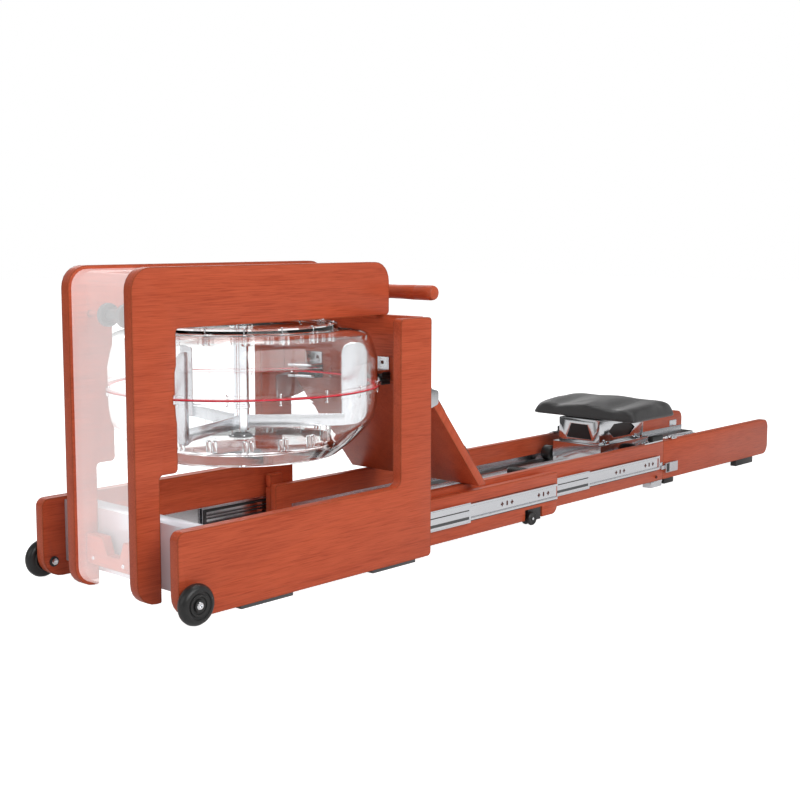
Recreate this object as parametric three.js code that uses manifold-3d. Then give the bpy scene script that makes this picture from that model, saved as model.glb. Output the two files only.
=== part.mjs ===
// Water rowing machine: a wooden base with a clear water tank, a telescoping rail of nested boards,
// a rolling seat and a tail that folds up. Millimetres, +Z up, +X towards the tail.
import * as THREE from 'three';
import { mergeVertices } from 'three/addons/utils/BufferGeometryUtils.js';
import Module from 'manifold-3d';

const wasm = await Module();
wasm.setup();

// Fits
const gap = 0.3; // between neighbours that touch
const runningGap = 0.3; // between a pin and its bore, on the radius
const overrun = 2; // by which a cutter passes a face
const buried = 1; // by which joined solids of one piece pass into each other

// Base side panels, L-shaped wood
const panelThickness = 21;
const baseOuterHalf = 206.4;
const baseFrontX = -266.4;
const baseBottomZ = 6.2;
const beamHeight = 146.5;
const uprightDepth = 86.3;
const uprightTopZ = 470.9;
const baseCornerRadius = 8;
const beamTopCornerRadius = 15;
const beamNoseRadius = 40;
const beamInnerRadius = 15;

// Tower panels: a leg in front and an arm along the top
const towerInnerHalf = 79.6;
const towerFrontX = -269.4;
const legFootDepth = 49.2;
const legDepth = 88.4;
const legFootTopZ = 226.6;
const legBottomZ = 8.7;
const armClearance = 0.6;
const armHeight = 103;
const armRearSetback = 6.1; // ahead of the rear of the base
const towerCornerRadius = 38;
const towerFootRadius = 3;
const towerInnerRadius = 8;

// Clear front shield
const shieldThickness = 4;
const shieldSetback = 6;
const shieldTopReach = 132;
const shieldBottomReach = 52;

// Low wooden board between the tower legs
const frontBoardThickness = 18;
const frontBoardBehindShield = 13.4;
const frontBoardAboveShield = 37.4;
const frontBoardHeight = 53;
const frontBoardNotchDepth = 30;
const frontBoardNotchTopHalf = 30;
const frontBoardNotchBottomHalf = 18;

// Steel cross box behind the tower legs
const crossBoxDepth = 40;
const crossBoxHeight = 114;
const crossBoxTopBelowBeam = 5.7;
const crossBoxWall = 3;

// Water tank
const tankWallRadius = 254.5;
const tankLip = 3.5;
const tankSaddleDepth = 27.9; // of the tank into the tower legs
const tankMiddleZ = 351.6;
const tankBowlDepth = 126.6;
const tankTopHeight = 114.4;
const tankWall = 4;
const tankFlangeHeight = 6;
const gasketThickness = 3;
const gasketWidth = 15;
const tankSegments = 40;
const tankBossRadius = 12;
const tankBossHeight = 9;
const lidCollarRadius = 22;
const lidCollarHeight = 4;
// Shares of the wall radius and of the bowl's depth below the flange
const bowlWallShares = [
  [0.636, 0.842],
  [0.662, 0.858],
  [0.675, 0.97],
  [0.692, 1],
  [0.72, 0.976],
  [0.77, 0.897],
  [0.831, 0.795],
  [0.897, 0.66],
  [0.949, 0.542],
  [0.978, 0.423],
  [0.994, 0.25],
];
// Shares of the wall radius and of the top's height above the flange
const topWallShares = [
  [1, 0.388],
  [0.9925, 0.467],
  [0.972, 0.64],
  [0.941, 0.79],
  [0.896, 0.861],
  [0.806, 0.904],
  [0.72, 0.914],
];
// The lid's raised ring, in shares of the same two sizes
const lidRingShares = [
  [0.704, 1],
  [0.648, 1],
  [0.64, 0.948],
];

// Paddle on its shaft, and the strap drum on top of it
const shaftRadius = 14;
const shaftFootGap = 1;
const shaftTopStandout = 1;
const shaftSegments = 20;
const bladeCount = 3;
const bladeReach = 205;
const bladeWidth = 58;
const bladeThickness = 5;
const bladeHeight = 172;
const bladeCornerRadius = 20;
const bladeFloorClearance = 12;
const armPlateHeight = 26;
const bladeStartAngle = -167; // degrees from +X
const drumRadius = 30;
const drumFlangeRadius = 36;
const drumFlange = 3;
const drumSideRoom = 3; // between strap and flange
const drumSegments = 28;

// Strap, handle and cradle
const handleRadius = 15;
const handleHalf = 175;
const handleBehindBase = 46.9;
const handleBelowTowerTop = 60.5;
const handleDome = 6;
const strapWidth = 20;
const strapThickness = 2;
const guideRadius = 5;
const guideSideGap = 0.5;
const cradleHalf = 30;
const cradleCheek = 4;
const cradleCheekInnerHalf = 19;
const cradleFootHeight = 5;
const cradleCapHeight = 4;
const cradleRoom = 4;
const cradleProngHeight = 7;
const cradleProngReach = 14; // past the handle's axis
const cradleNoseReach = 8;

// Front return pulley
const pulleyX = -226;
const pulleyBelowTowerTop = 83.5;
const pulleyRadius = 20.5;
const pulleyCoreRadius = 11;
const pulleyDiscHalf = 26; // middle of each disc
const pulleyDiscWidth = 12;
const pulleyAxleRadius = 5;
const pulleyAxleDepth = 10; // into each tower panel

// Rear cross board between the uprights
const crossBoardThickness = 21.1;
const crossBoardAheadOfTank = 22.9; // from the tank's flange
const crossBoardBottomZ = 342;

// Tank clamps on the cross board
const clampThickness = 4;
const clampJaw = 6;
const clampTopZ = 390;
const clampNearShares = [-0.637, -0.459]; // of the cross board's half width
const clampFarShares = [0.357, 0.627];
const clampGrip = 2.9; // over the flange

// Transport wheels
const wheelRadius = 35;
const wheelWidth = 24;
const wheelX = -245;
const wheelLift = 0.2;
const wheelPanelGap = 4.6;
const wheelChamfer = 4;
const wheelHubRadius = 20;
const wheelHubRecess = 3;
const wheelCapRadius = 10;
const wheelCapStandout = 1;
const axleRadius = 5;
const axleHeadRadius = 8;
const axleHeadHeight = 4.8;
const wheelSegments = 28;

// Floor pads under the base
const padThickness = 5.9;
const padWidth = 19;
const padLength = 120;
const padFrontX = -134;
const padRearX = 188;
const padStripThickness = 1.2;
const padStripWidth = 9;

// Ball-bearing slides, all of one section
const slideThickness = 12.7;
const slideSideGap = 0.1;
const slideHeight = 45;
const slideWall = 1.2;
const slideMiddleHeight = 37;
const slideInnerHeight = 25;
const slideCentreZ = 62;
const slideRaceWidth = 2.6;
const slideOuterLipShare = 0.93; // of the thickness, from the outer member's back
const slideMiddleBackShare = 0.38;
const slideMiddleLipShare = 0.86;
const slideInnerLipShare = 0.64;
const slideMiddleRaceShare = 0.5;
const slideInnerRaceShare = 0.69;

// First slide: outer on the base, inner on board 1
const slideOneLength = 410;
const slideOneFrontX = -70;
const slideOneMiddleX = 97;
const slideOneInnerX = 404;
// Second slide: outer on board 1, inner on board 2
const slideTwoLength = 546;
const slideTwoFrontX = 268;
const slideTwoMiddleX = 431;
const slideTwoInnerX = 738;

// Board 1
const boardThickness = 15.5;
const boardOneFrontX = 262;
const boardOneLength = 557.2;
const boardOneBottomZ = 12;
const boardOneHeight = 92.4;
const boardOneRearRadius = 18;
const boardCornerRadius = 6;

// Board 2 and the tail boards
const boardTwoFrontX = 250;
const seamX = 1312.3;
const boardTwoBottomZ = 16.1;
const boardTwoHeight = 96.6;
const tailEndX = 1869.4;
const tailCornerRadius = 24;
const seamCornerRadius = 3;

// Castors and the strips that tie the first boards together
const castorToBoardEnd = 97.2;
const castorHalf = 168;
const castorRadius = 15;
const castorDiscWidth = 8;
const castorForkThickness = 6;
const castorForkGap = 0.5;
const castorAxleRadius = 3;
const castorNotchRoom = 5;
const castorSegments = 16;
const tieStripThickness = 3.7;
const tieFrontX = 272;
const tieFrontWidth = 50;
const tieRearWidth = 20;
const tieRearBehindCastor = 3;
const tieSpineHalf = 12;

// Seat tracks
const trackFrontX = 292;
const trackSurfaceZ = 56;
const trackThickness = 3;
const trackInnerHalf = 88;
const trackWebHeight = 14;
const trackLipHeight = 7;
const trackTieWidth = 40;
const trackTieThickness = 4;
const trackTieShares = [0.02, 0.24, 0.47, 0.7];
const trackSeamSetback = 3.3;
const tailTrackSetback = 4.7; // behind the seam
const tailTrackEndSetback = 4.4;
const tailTieShares = [0.03, 0.48, 0.93];

// Front stops and feet of the second stage
const stopX = 775;
const stopRadius = 10;
const stopInnerHalf = 73;
const stopZ = 100;
const stopPostWidth = 10;
const stageFootAheadOfSeam = 54.3;
const stageFootLength = 50;
const stageFootLift = 0.3;
const stageFootLegWidth = 8;

// Tail feet
const tailFootFromEnd = 179.4;
const tailFootLength = 95;
const tailFootBarLength = 45;
const tailFootBarHeight = 7.8;

// Tail hinges on the boards' top edges
const hingeBehindSeam = 43.7;
const hingeAboveBoard = 4.3;
const hingeKnuckleRadius = 4;
const hingePlateAheadOfSeam = 86.3;
const hingeBlockAheadOfSeam = 49.3;
const hingePlateThickness = 3;
const hingeBlockHeight = 12;
const hingeBlockRearSetback = 2;
const hingeEdgeMargin = 0.6;
const hingeLeafReach = 22;
const hingeSideGap = 0.5;
const hingePinRadius = 1.6;

// Seat
const padHalf = 150;
const padFrontSeatX = 1163.5;
const padDepth = 191.2;
const padBottomZ = 172.5;
const padHeight = 36;
const padCornerRadius = 42;
const padBevel = 10;
const bracketFrontX = 1152;
const bracketDepth = 200;
const bracketHalf = 60;
const bracketWall = 3;
const truckFrontX = 1142;
const truckDepth = 218;
const truckHalf = 71;
const truckTopZ = 112;
const truckWall = 4;
const truckSideDrop = 48;
const truckFrontDrop = 36;
const rollerRadius = 19;
const rollerInnerHalf = 80;
const rollerOuterHalf = 110;
const rollerAxleRadius = 4;
const rollerFrontShare = 0.083; // of the truck's depth
const rollerRearShare = 0.839;
const rollerChamfer = 2;
const rollerSegments = 20;
// The bracket's window outlines, in shares of its half width or depth, and of its height
const bracketFrontWindowShares = [
  [-0.62, 0.18],
  [0.62, 0.18],
  [0.4, 0.78],
  [-0.4, 0.78],
];
const bracketSideWindowShares = [
  [0.2, 0.48],
  [0.32, 0.2],
  [0.68, 0.2],
  [0.8, 0.48],
  [0.68, 0.76],
  [0.32, 0.76],
];

// Footboard
const footboardAngle = 51; // degrees from the floor
const footboardThickness = 19;
const footboardHalf = 181.5;
const footboardPivotBehindBase = 33.4;
const footboardPivotZ = 310;
const footboardAboveRail = 1.3;
const footboardBelowCrossBoard = 3;
const footboardCornerRadius = 3;
const footboardPinRadius = 5;
const footboardPinDepth = 11;
const bracketPlateThickness = 3;
const bracketPlateDepth = 46; // along the upright
const bracketPlateHeight = 52;
const bracketPlateNoseRadius = 13;

// Foot rests on the footboard
const footRestHalfSpan = 140;
const footRestWidth = 104;
const footRestLength = 232;
const footRestThickness = 7;
const footRestFromLowEnd = 22;
const footRestCornerRadius = 24;
const footRestBridge = 60;
const heelCupHeight = 34;
const heelCupWall = 5;
const heelCupDepth = 46;

// Places that follow from the sizes above
const baseInnerHalf = baseOuterHalf - panelThickness;
const beamTopZ = baseBottomZ + beamHeight;
const towerOuterHalf = towerInnerHalf + panelThickness;
const legFootRearX = towerFrontX + legFootDepth;
const legRearX = towerFrontX + legDepth;
const armBottomZ = uprightTopZ + armClearance;
const towerTopZ = armBottomZ + armHeight;
const tankFlangeRadius = tankWallRadius + tankLip;
const tankX = legRearX + tankFlangeRadius - tankSaddleDepth;
const crossBoardFrontX = tankX + tankFlangeRadius + crossBoardAheadOfTank;
const baseRearX = crossBoardFrontX + crossBoardThickness;
const uprightFrontX = baseRearX - uprightDepth;
const armRearX = baseRearX - armRearSetback;
const crossBoardTopZ = armBottomZ - gap;
const crossBoxTopZ = beamTopZ - crossBoxTopBelowBeam;
const crossBoxFrontX = legFootRearX + gap;
const shieldFrontX = towerFrontX + shieldSetback;
const shieldBottomZ = legBottomZ + shieldSetback;
const shieldTopZ = towerTopZ - shieldSetback;
const flangeLowZ = tankMiddleZ - gasketThickness / 2 - gap - tankFlangeHeight;
const flangeHighZ = tankMiddleZ + gasketThickness / 2 + gap + tankFlangeHeight;
const tankFloorZ = tankMiddleZ - tankBowlDepth * bowlWallShares[0][1] + tankWall;
const tankTopZ = tankMiddleZ + tankTopHeight;
const shaftBottomZ = tankFloorZ + tankBossHeight + shaftFootGap;
const bladeBottomZ = tankFloorZ + bladeFloorClearance;
const handleX = baseRearX + handleBehindBase;
const handleZ = towerTopZ - handleBelowTowerTop;
const strapLowZ = handleZ - strapWidth / 2;
const strapHighZ = handleZ + strapWidth / 2;
const drumLowZ = strapLowZ - drumSideRoom - drumFlange;
const drumHighZ = strapHighZ + drumSideRoom + drumFlange;
const pulleyZ = towerTopZ - pulleyBelowTowerTop;
const wheelZ = wheelRadius + wheelLift;
const wheelInnerHalf = baseOuterHalf + wheelPanelGap;
const slideGapWidth = slideThickness + 2 * slideSideGap;
const boardOneOuterHalf = baseInnerHalf - slideGapWidth;
const boardOneInnerHalf = boardOneOuterHalf - boardThickness;
const boardTwoOuterHalf = boardOneInnerHalf - slideGapWidth;
const boardTwoInnerHalf = boardTwoOuterHalf - boardThickness;
const boardTwoTopZ = boardTwoBottomZ + boardTwoHeight;
const boardOneRearX = boardOneFrontX + boardOneLength;
const castorX = boardOneRearX - castorToBoardEnd;
const tailFrontX = seamX + gap;
const tieTopZ = boardOneBottomZ - gap;
const tieLowZ = tieTopZ - tieStripThickness;
const tieRearX = castorX + castorRadius + tieRearBehindCastor;
const castorNotchTopZ = 2 * castorRadius + castorNotchRoom;
const trackOuterHalf = boardTwoInnerHalf - gap;
const trackRearX = seamX - trackSeamSetback;
const tailTrackFrontX = seamX + tailTrackSetback;
const tailTrackRearX = tailEndX - tailTrackEndSetback;
const trackLowZ = trackSurfaceZ - trackThickness;
const tieBarLowZ = trackLowZ - trackLipHeight;
const hingeX = seamX + hingeBehindSeam;
const hingeZ = boardTwoTopZ + hingeAboveBoard;
const rollerZ = trackSurfaceZ + gap + rollerRadius;
const rollerFrontX = truckFrontX + truckDepth * rollerFrontShare;
const rollerRearX = truckFrontX + truckDepth * rollerRearShare;
const bracketLowZ = truckTopZ + gap;
const bracketHighZ = padBottomZ - gap;
const footboardPivotX = baseRearX + footboardPivotBehindBase;
const footboardLowZ = boardTwoTopZ + footboardAboveRail;
const footboardHighZ = crossBoardBottomZ - footboardBelowCrossBoard;
const frontX = wheelX - wheelRadius;
const originX = (frontX + tailEndX) / 2;
const arcStepDegrees = 15;
const sides = [
  { name: 'near', sign: -1 },
  { name: 'far', sign: 1 },
];

// Looks
const looks = {
  wood: { color: 0xb8552f, roughness: 0.35, metalness: 0 },
  steel: { color: 0xc4c6c9, roughness: 0.25, metalness: 1 },
  black: { color: 0x161616, roughness: 0.5, metalness: 0 },
  rubber: { color: 0x1c1c1c, roughness: 0.8, metalness: 0 },
  clear: { color: 0xeef3f6, roughness: 0.05, metalness: 0, transparent: true, opacity: 0.3 },
  red: { color: 0xc8102a, roughness: 0.45, metalness: 0 },
  cushion: { color: 0x232426, roughness: 0.6, metalness: 0 },
};

// Closed surfaces: only positions, shared corners merged, faces turned outward
function closed(geometry) {
  const bare = geometry.clone();
  bare.deleteAttribute('normal');
  bare.deleteAttribute('uv');
  const merged = mergeVertices(bare);
  const corners = merged.index.array;
  const place = merged.attributes.position;
  const kept = [];
  let volume = 0;
  const a = new THREE.Vector3();
  const b = new THREE.Vector3();
  const c = new THREE.Vector3();
  for (let i = 0; i < corners.length; i += 3) {
    const [p, q, r] = [corners[i], corners[i + 1], corners[i + 2]];
    if (p === q || q === r || r === p) continue;
    kept.push(p, q, r);
    a.fromBufferAttribute(place, p);
    b.fromBufferAttribute(place, q);
    c.fromBufferAttribute(place, r);
    volume += a.dot(b.cross(c));
  }
  if (volume < 0) kept.reverse();
  const result = new THREE.BufferGeometry();
  result.setAttribute('position', place);
  result.setIndex(kept);
  return result;
}

function toSolid(geometry) {
  const shape = closed(geometry);
  const vertProperties = shape.attributes.position.array;
  const triVerts = new Uint32Array(shape.index.array);
  return new wasm.Manifold(new wasm.Mesh({ numProp: 3, vertProperties, triVerts }));
}

function toGeometry(solid) {
  const mesh = solid.getMesh();
  const geometry = new THREE.BufferGeometry();
  geometry.setAttribute('position', new THREE.BufferAttribute(mesh.vertProperties, 3));
  geometry.setIndex(new THREE.BufferAttribute(mesh.triVerts, 1));
  return geometry;
}

function joined(...pieces) {
  return toGeometry(pieces.map(toSolid).reduce((whole, piece) => whole.add(piece)));
}

function cut(body, ...cutters) {
  return toGeometry(cutters.map(toSolid).reduce((whole, piece) => whole.subtract(piece), toSolid(body)));
}

// A box between two corners
function block(lowX, highX, lowY, highY, lowZ, highZ) {
  const geometry = new THREE.BoxGeometry(highX - lowX, highY - lowY, highZ - lowZ);
  geometry.translate((lowX + highX) / 2, (lowY + highY) / 2, (lowZ + highZ) / 2);
  return geometry;
}

// An outline whose corners are [a, b, radius]; a corner with no radius stays sharp
function outline(corners) {
  const points = [];
  const count = corners.length;
  for (let i = 0; i < count; i++) {
    const [x, y, radius = 0] = corners[i];
    const here = new THREE.Vector2(x, y);
    const before = new THREE.Vector2(...corners[(i + count - 1) % count].slice(0, 2));
    const after = new THREE.Vector2(...corners[(i + 1) % count].slice(0, 2));
    const back = before.sub(here).normalize();
    const ahead = after.sub(here).normalize();
    const half = Math.acos(THREE.MathUtils.clamp(back.dot(ahead), -1, 1)) / 2;
    if (radius === 0) {
      points.push(here);
      continue;
    }
    const centre = back.clone().add(ahead).normalize().multiplyScalar(radius / Math.sin(half)).add(here);
    const start = back.clone().multiplyScalar(radius / Math.tan(half)).add(here).sub(centre).angle();
    const end = ahead.clone().multiplyScalar(radius / Math.tan(half)).add(here).sub(centre).angle();
    const turn = THREE.MathUtils.euclideanModulo(end - start + Math.PI, 2 * Math.PI) - Math.PI;
    const steps = Math.max(2, Math.ceil(Math.abs(THREE.MathUtils.radToDeg(turn)) / arcStepDegrees));
    for (let k = 0; k <= steps; k++) {
      const angle = start + (turn * k) / steps;
      points.push(new THREE.Vector2(Math.cos(angle), Math.sin(angle)).multiplyScalar(radius).add(centre));
    }
  }
  return new THREE.Shape(points);
}

function extruded(shape, depth) {
  return new THREE.ExtrudeGeometry(shape, { depth, bevelEnabled: false, steps: 1 });
}

// Outlines in the XZ plane carried along Y, in YZ along X, and in XY along Z
function alongY(shape, lowY, highY) {
  const geometry = extruded(shape, highY - lowY);
  geometry.rotateX(Math.PI / 2);
  geometry.translate(0, highY, 0);
  return geometry;
}

function alongX(shape, lowX, highX) {
  const geometry = extruded(shape, highX - lowX);
  const turn = new THREE.Matrix4();
  turn.makeBasis(new THREE.Vector3(0, 1, 0), new THREE.Vector3(0, 0, 1), new THREE.Vector3(1, 0, 0));
  geometry.applyMatrix4(turn);
  geometry.translate(lowX, 0, 0);
  return geometry;
}

function alongZ(shape, lowZ, highZ) {
  const geometry = extruded(shape, highZ - lowZ);
  geometry.translate(0, 0, lowZ);
  return geometry;
}

// A round rod along Y
function rodY(radius, lowY, highY, x, z, segments) {
  const geometry = new THREE.CylinderGeometry(radius, radius, highY - lowY, segments);
  geometry.translate(x, (lowY + highY) / 2, z);
  return geometry;
}

// A round rod along Z
function rodZ(radius, x, y, lowZ, highZ, segments) {
  const geometry = new THREE.CylinderGeometry(radius, radius, highZ - lowZ, segments);
  geometry.rotateX(Math.PI / 2);
  geometry.translate(x, y, (lowZ + highZ) / 2);
  return geometry;
}

// A profile of [radius, height] turned about Y, or about Z
function turnedY(profile, segments) {
  return new THREE.LatheGeometry(profile.map(([r, h]) => new THREE.Vector2(r, h)), segments);
}

function turnedZ(profile, segments) {
  const geometry = turnedY(profile, segments);
  geometry.rotateX(Math.PI / 2);
  return geometry;
}

// A path moved sideways to its left by a distance, corner by corner
function offsetPath(path, distance) {
  return path.map(([x, y], i) => {
    const normals = [];
    for (const j of [i - 1, i]) {
      if (j < 0 || j >= path.length - 1) continue;
      const along = new THREE.Vector2(path[j + 1][0] - path[j][0], path[j + 1][1] - path[j][1]).normalize();
      normals.push(new THREE.Vector2(-along.y, along.x));
    }
    const mean = normals.reduce((sum, n) => sum.clone().add(n)).normalize();
    const reach = distance / mean.dot(normals[0]);
    return [x + mean.x * reach, y + mean.y * reach];
  });
}

// The outline of a strip with its middle on a path
function strip(path, thickness) {
  const left = offsetPath(path, thickness / 2);
  const right = offsetPath(path, -thickness / 2);
  return outline([...left, ...right.reverse()]);
}

const root = new THREE.Group();
root.position.x = -originX;

function add(name, geometry, look) {
  const mesh = new THREE.Mesh(closed(geometry), new THREE.MeshStandardMaterial(looks[look]));
  mesh.geometry.computeVertexNormals();
  mesh.name = name;
  root.add(mesh);
  return mesh;
}

// Y range of a layer that lies from one half distance to another, on one side
function layer(side, innerHalf, outerHalf) {
  return side.sign > 0 ? [innerHalf, outerHalf] : [-outerHalf, -innerHalf];
}

// The tank's outside, as profiles of [radius, height] from the bottom up
function bowlPath() {
  return bowlWallShares.map(([r, depth]) => [r * tankWallRadius, tankMiddleZ - depth * tankBowlDepth]);
}

function topPath(shares) {
  return shares.map(([r, height]) => [r * tankWallRadius, tankMiddleZ + height * tankTopHeight]);
}

function tankEnvelope() {
  const bowl = bowlPath();
  return [
    [0, bowl[0][1]],
    ...bowl,
    [tankWallRadius, flangeLowZ],
    [tankFlangeRadius, flangeLowZ],
    [tankFlangeRadius, flangeHighZ],
    [tankWallRadius, flangeHighZ],
    ...topPath(topWallShares),
    ...topPath(lidRingShares),
    [0, tankTopZ],
  ];
}

// Base panels: the wheel's axle runs through the nose of each
for (const side of sides) {
  const shape = outline([
    [baseFrontX, baseBottomZ, beamNoseRadius],
    [baseRearX, baseBottomZ, baseCornerRadius],
    [baseRearX, uprightTopZ, baseCornerRadius],
    [uprightFrontX, uprightTopZ, baseCornerRadius],
    [uprightFrontX, beamTopZ, beamInnerRadius],
    [baseFrontX, beamTopZ, beamTopCornerRadius],
  ]);
  const [low, high] = layer(side, baseInnerHalf, baseOuterHalf);
  const bore = rodY(axleRadius + runningGap, low - overrun, high + overrun, wheelX, wheelZ, wheelSegments);
  add(`base_panel_${side.name}`, cut(alongY(shape, low, high), bore), 'wood');
}

// Tower panels: saddles for the tank in the legs, and blind bores for the pulley's axle
for (const side of sides) {
  const shape = outline([
    [towerFrontX, legBottomZ, towerCornerRadius],
    [legFootRearX, legBottomZ, towerFootRadius],
    [legFootRearX, legFootTopZ, towerInnerRadius],
    [legRearX, legFootTopZ, towerInnerRadius],
    [legRearX, armBottomZ, towerInnerRadius],
    [armRearX, armBottomZ, towerInnerRadius],
    [armRearX, towerTopZ, towerCornerRadius],
    [towerFrontX, towerTopZ, towerCornerRadius],
  ]);
  const [low, high] = layer(side, towerInnerHalf, towerOuterHalf);
  const axleDepth = pulleyAxleDepth + runningGap;
  const [boreLow, boreHigh] = layer(side, towerInnerHalf - overrun, towerInnerHalf + axleDepth);
  const bore = rodY(pulleyAxleRadius + runningGap, boreLow, boreHigh, pulleyX, pulleyZ, shaftSegments);
  const saddle = turnedZ(tankEnvelope().map(([r, z]) => [r > 0 ? r + gap : r, z]), tankSegments);
  saddle.translate(tankX, 0, 0);
  add(`tower_panel_${side.name}`, cut(alongY(shape, low, high), bore, saddle), 'wood');
}

// Front shield: one clear strip bent round the front of the tower
{
  const middle = shieldThickness / 2;
  const left = shieldFrontX + middle;
  const low = shieldBottomZ + middle;
  const high = shieldTopZ - middle;
  const bend = towerCornerRadius - shieldSetback - middle;
  const top = [];
  for (let degrees = 0; degrees <= 90; degrees += arcStepDegrees) {
    const turn = THREE.MathUtils.degToRad(degrees);
    top.push([left + bend * (1 - Math.sin(turn)), high - bend * (1 - Math.cos(turn))]);
  }
  const bottom = top.map(([x, z]) => [x, low + high - z]).reverse();
  const topEnd = [shieldFrontX + shieldTopReach, high];
  const bottomEnd = [shieldFrontX + shieldBottomReach, low];
  const path = [topEnd, ...top, ...bottom, bottomEnd];
  const half = towerInnerHalf - gap;
  add('front_shield', alongY(strip(path, shieldThickness), -half, half), 'clear');
}

// Front board with its notch
{
  const half = towerInnerHalf - gap;
  const low = shieldBottomZ + frontBoardAboveShield;
  const high = low + frontBoardHeight;
  const notchZ = high - frontBoardNotchDepth;
  const shape = outline([
    [-half, low],
    [half, low],
    [half, high],
    [frontBoardNotchTopHalf, high],
    [frontBoardNotchBottomHalf, notchZ],
    [-frontBoardNotchBottomHalf, notchZ],
    [-frontBoardNotchTopHalf, high],
    [-half, high],
  ]);
  const front = shieldFrontX + shieldThickness + frontBoardBehindShield;
  add('front_board', alongX(shape, front, front + frontBoardThickness), 'wood');
}

// Cross box: a steel channel, open below, between the base panels
{
  const half = baseInnerHalf - gap;
  const rear = crossBoxFrontX + crossBoxDepth;
  const low = crossBoxTopZ - crossBoxHeight;
  const shape = outline([
    [crossBoxFrontX, low],
    [crossBoxFrontX + crossBoxWall, low],
    [crossBoxFrontX + crossBoxWall, crossBoxTopZ - crossBoxWall],
    [rear - crossBoxWall, crossBoxTopZ - crossBoxWall],
    [rear - crossBoxWall, low],
    [rear, low],
    [rear, crossBoxTopZ],
    [crossBoxFrontX, crossBoxTopZ],
  ]);
  add('cross_box', alongY(shape, -half, half), 'steel');
}

// Rear cross board, on which the tower's arms rest
{
  const half = baseInnerHalf - gap;
  const board = block(crossBoardFrontX, baseRearX, -half, half, crossBoardBottomZ, crossBoardTopZ);
  add('cross_board', board, 'wood');
}

// Tank bowl, gasket and top
{
  const outside = [...bowlPath(), [tankWallRadius, flangeLowZ]];
  const inside = offsetPath(outside, tankWall).reverse();
  const flangeTopZ = flangeLowZ + tankFlangeHeight;
  const profile = [
    [0, outside[0][1]],
    ...outside,
    [tankFlangeRadius, flangeLowZ],
    [tankFlangeRadius, flangeTopZ],
    [tankWallRadius - tankWall, flangeTopZ],
    ...inside,
    [tankBossRadius, tankFloorZ],
    [tankBossRadius, tankFloorZ + tankBossHeight],
    [0, tankFloorZ + tankBossHeight],
  ];
  add('tank_bowl', turnedZ(profile, tankSegments), 'clear').position.x = tankX;
}
{
  const low = tankMiddleZ - gasketThickness / 2;
  const inner = tankFlangeRadius - gasketWidth;
  const ring = [
    [inner, low],
    [tankFlangeRadius, low],
    [tankFlangeRadius, low + gasketThickness],
    [inner, low + gasketThickness],
    [inner, low],
  ];
  add('tank_gasket', turnedZ(ring, tankSegments), 'red').position.x = tankX;
}
{
  const wall = [[tankWallRadius, flangeHighZ], ...topPath(topWallShares)];
  const inside = offsetPath(wall, tankWall).reverse();
  const flangeBottomZ = flangeHighZ - tankFlangeHeight;
  const lidLowZ = inside[0][1];
  const lidRing = topPath(lidRingShares);
  const lidHighZ = lidRing[lidRing.length - 1][1];
  const bore = shaftRadius + shaftFootGap;
  const profile = [
    [tankFlangeRadius, flangeBottomZ],
    [tankFlangeRadius, flangeHighZ],
    ...wall,
    ...lidRing,
    [lidCollarRadius, lidHighZ],
    [lidCollarRadius, lidHighZ + lidCollarHeight],
    [bore, lidHighZ + lidCollarHeight],
    [bore, lidLowZ],
    ...inside,
    [tankWallRadius - tankWall, flangeBottomZ],
    [tankFlangeRadius, flangeBottomZ],
  ];
  add('tank_top', turnedZ(profile, tankSegments), 'clear').position.x = tankX;
}

// Tank clamps: jaws over and under the flange, on the cross board's front face
for (const side of sides) {
  const shares = side.sign < 0 ? clampNearShares : clampFarShares;
  const [low, high] = shares.map((share) => share * baseInnerHalf);
  const back = crossBoardFrontX - gap;
  const tip = tankX;
  const upperZ = flangeHighZ + gap;
  const lowerZ = flangeLowZ - gap;
  const shape = outline([
    [tip, upperZ],
    [back - clampThickness, upperZ],
    [back - clampThickness, lowerZ],
    [tip, lowerZ],
    [tip, lowerZ - clampJaw],
    [back, lowerZ - clampJaw],
    [back, clampTopZ],
    [back - clampThickness, clampTopZ],
    [back - clampThickness, upperZ + clampJaw],
    [tip, upperZ + clampJaw],
  ]);
  const reach = tankFlangeRadius - clampGrip;
  const room = rodZ(reach, tankX, 0, lowerZ - clampJaw - overrun, clampTopZ + overrun, tankSegments);
  add(`tank_clamp_${side.name}`, cut(alongY(shape, low, high), room), 'steel');
}

// Paddle: shaft, and blades on flat arms
{
  const arm = outline([
    [0, 0],
    [bladeReach, 0],
    [bladeReach, bladeHeight, bladeCornerRadius],
    [bladeReach - bladeWidth, bladeHeight, bladeCornerRadius],
    [bladeReach - bladeWidth, armPlateHeight],
    [0, armPlateHeight],
  ]);
  const pieces = [rodZ(shaftRadius, 0, 0, shaftBottomZ, drumHighZ + shaftTopStandout, shaftSegments)];
  for (let i = 0; i < bladeCount; i++) {
    const blade = alongY(arm, -bladeThickness / 2, bladeThickness / 2);
    blade.translate(0, 0, bladeBottomZ);
    blade.rotateZ(THREE.MathUtils.degToRad(bladeStartAngle) + (2 * Math.PI * i) / bladeCount);
    pieces.push(blade);
  }
  add('paddle', joined(...pieces), 'steel').position.x = tankX;
}

// Strap drum on the shaft
{
  const bore = shaftRadius + runningGap + gap;
  const profile = [
    [bore, drumLowZ],
    [drumFlangeRadius, drumLowZ],
    [drumFlangeRadius, drumLowZ + drumFlange],
    [drumRadius, drumLowZ + drumFlange],
    [drumRadius, drumHighZ - drumFlange],
    [drumFlangeRadius, drumHighZ - drumFlange],
    [drumFlangeRadius, drumHighZ],
    [bore, drumHighZ],
    [bore, drumLowZ],
  ];
  add('strap_drum', turnedZ(profile, drumSegments), 'black').position.x = tankX;
}

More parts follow.
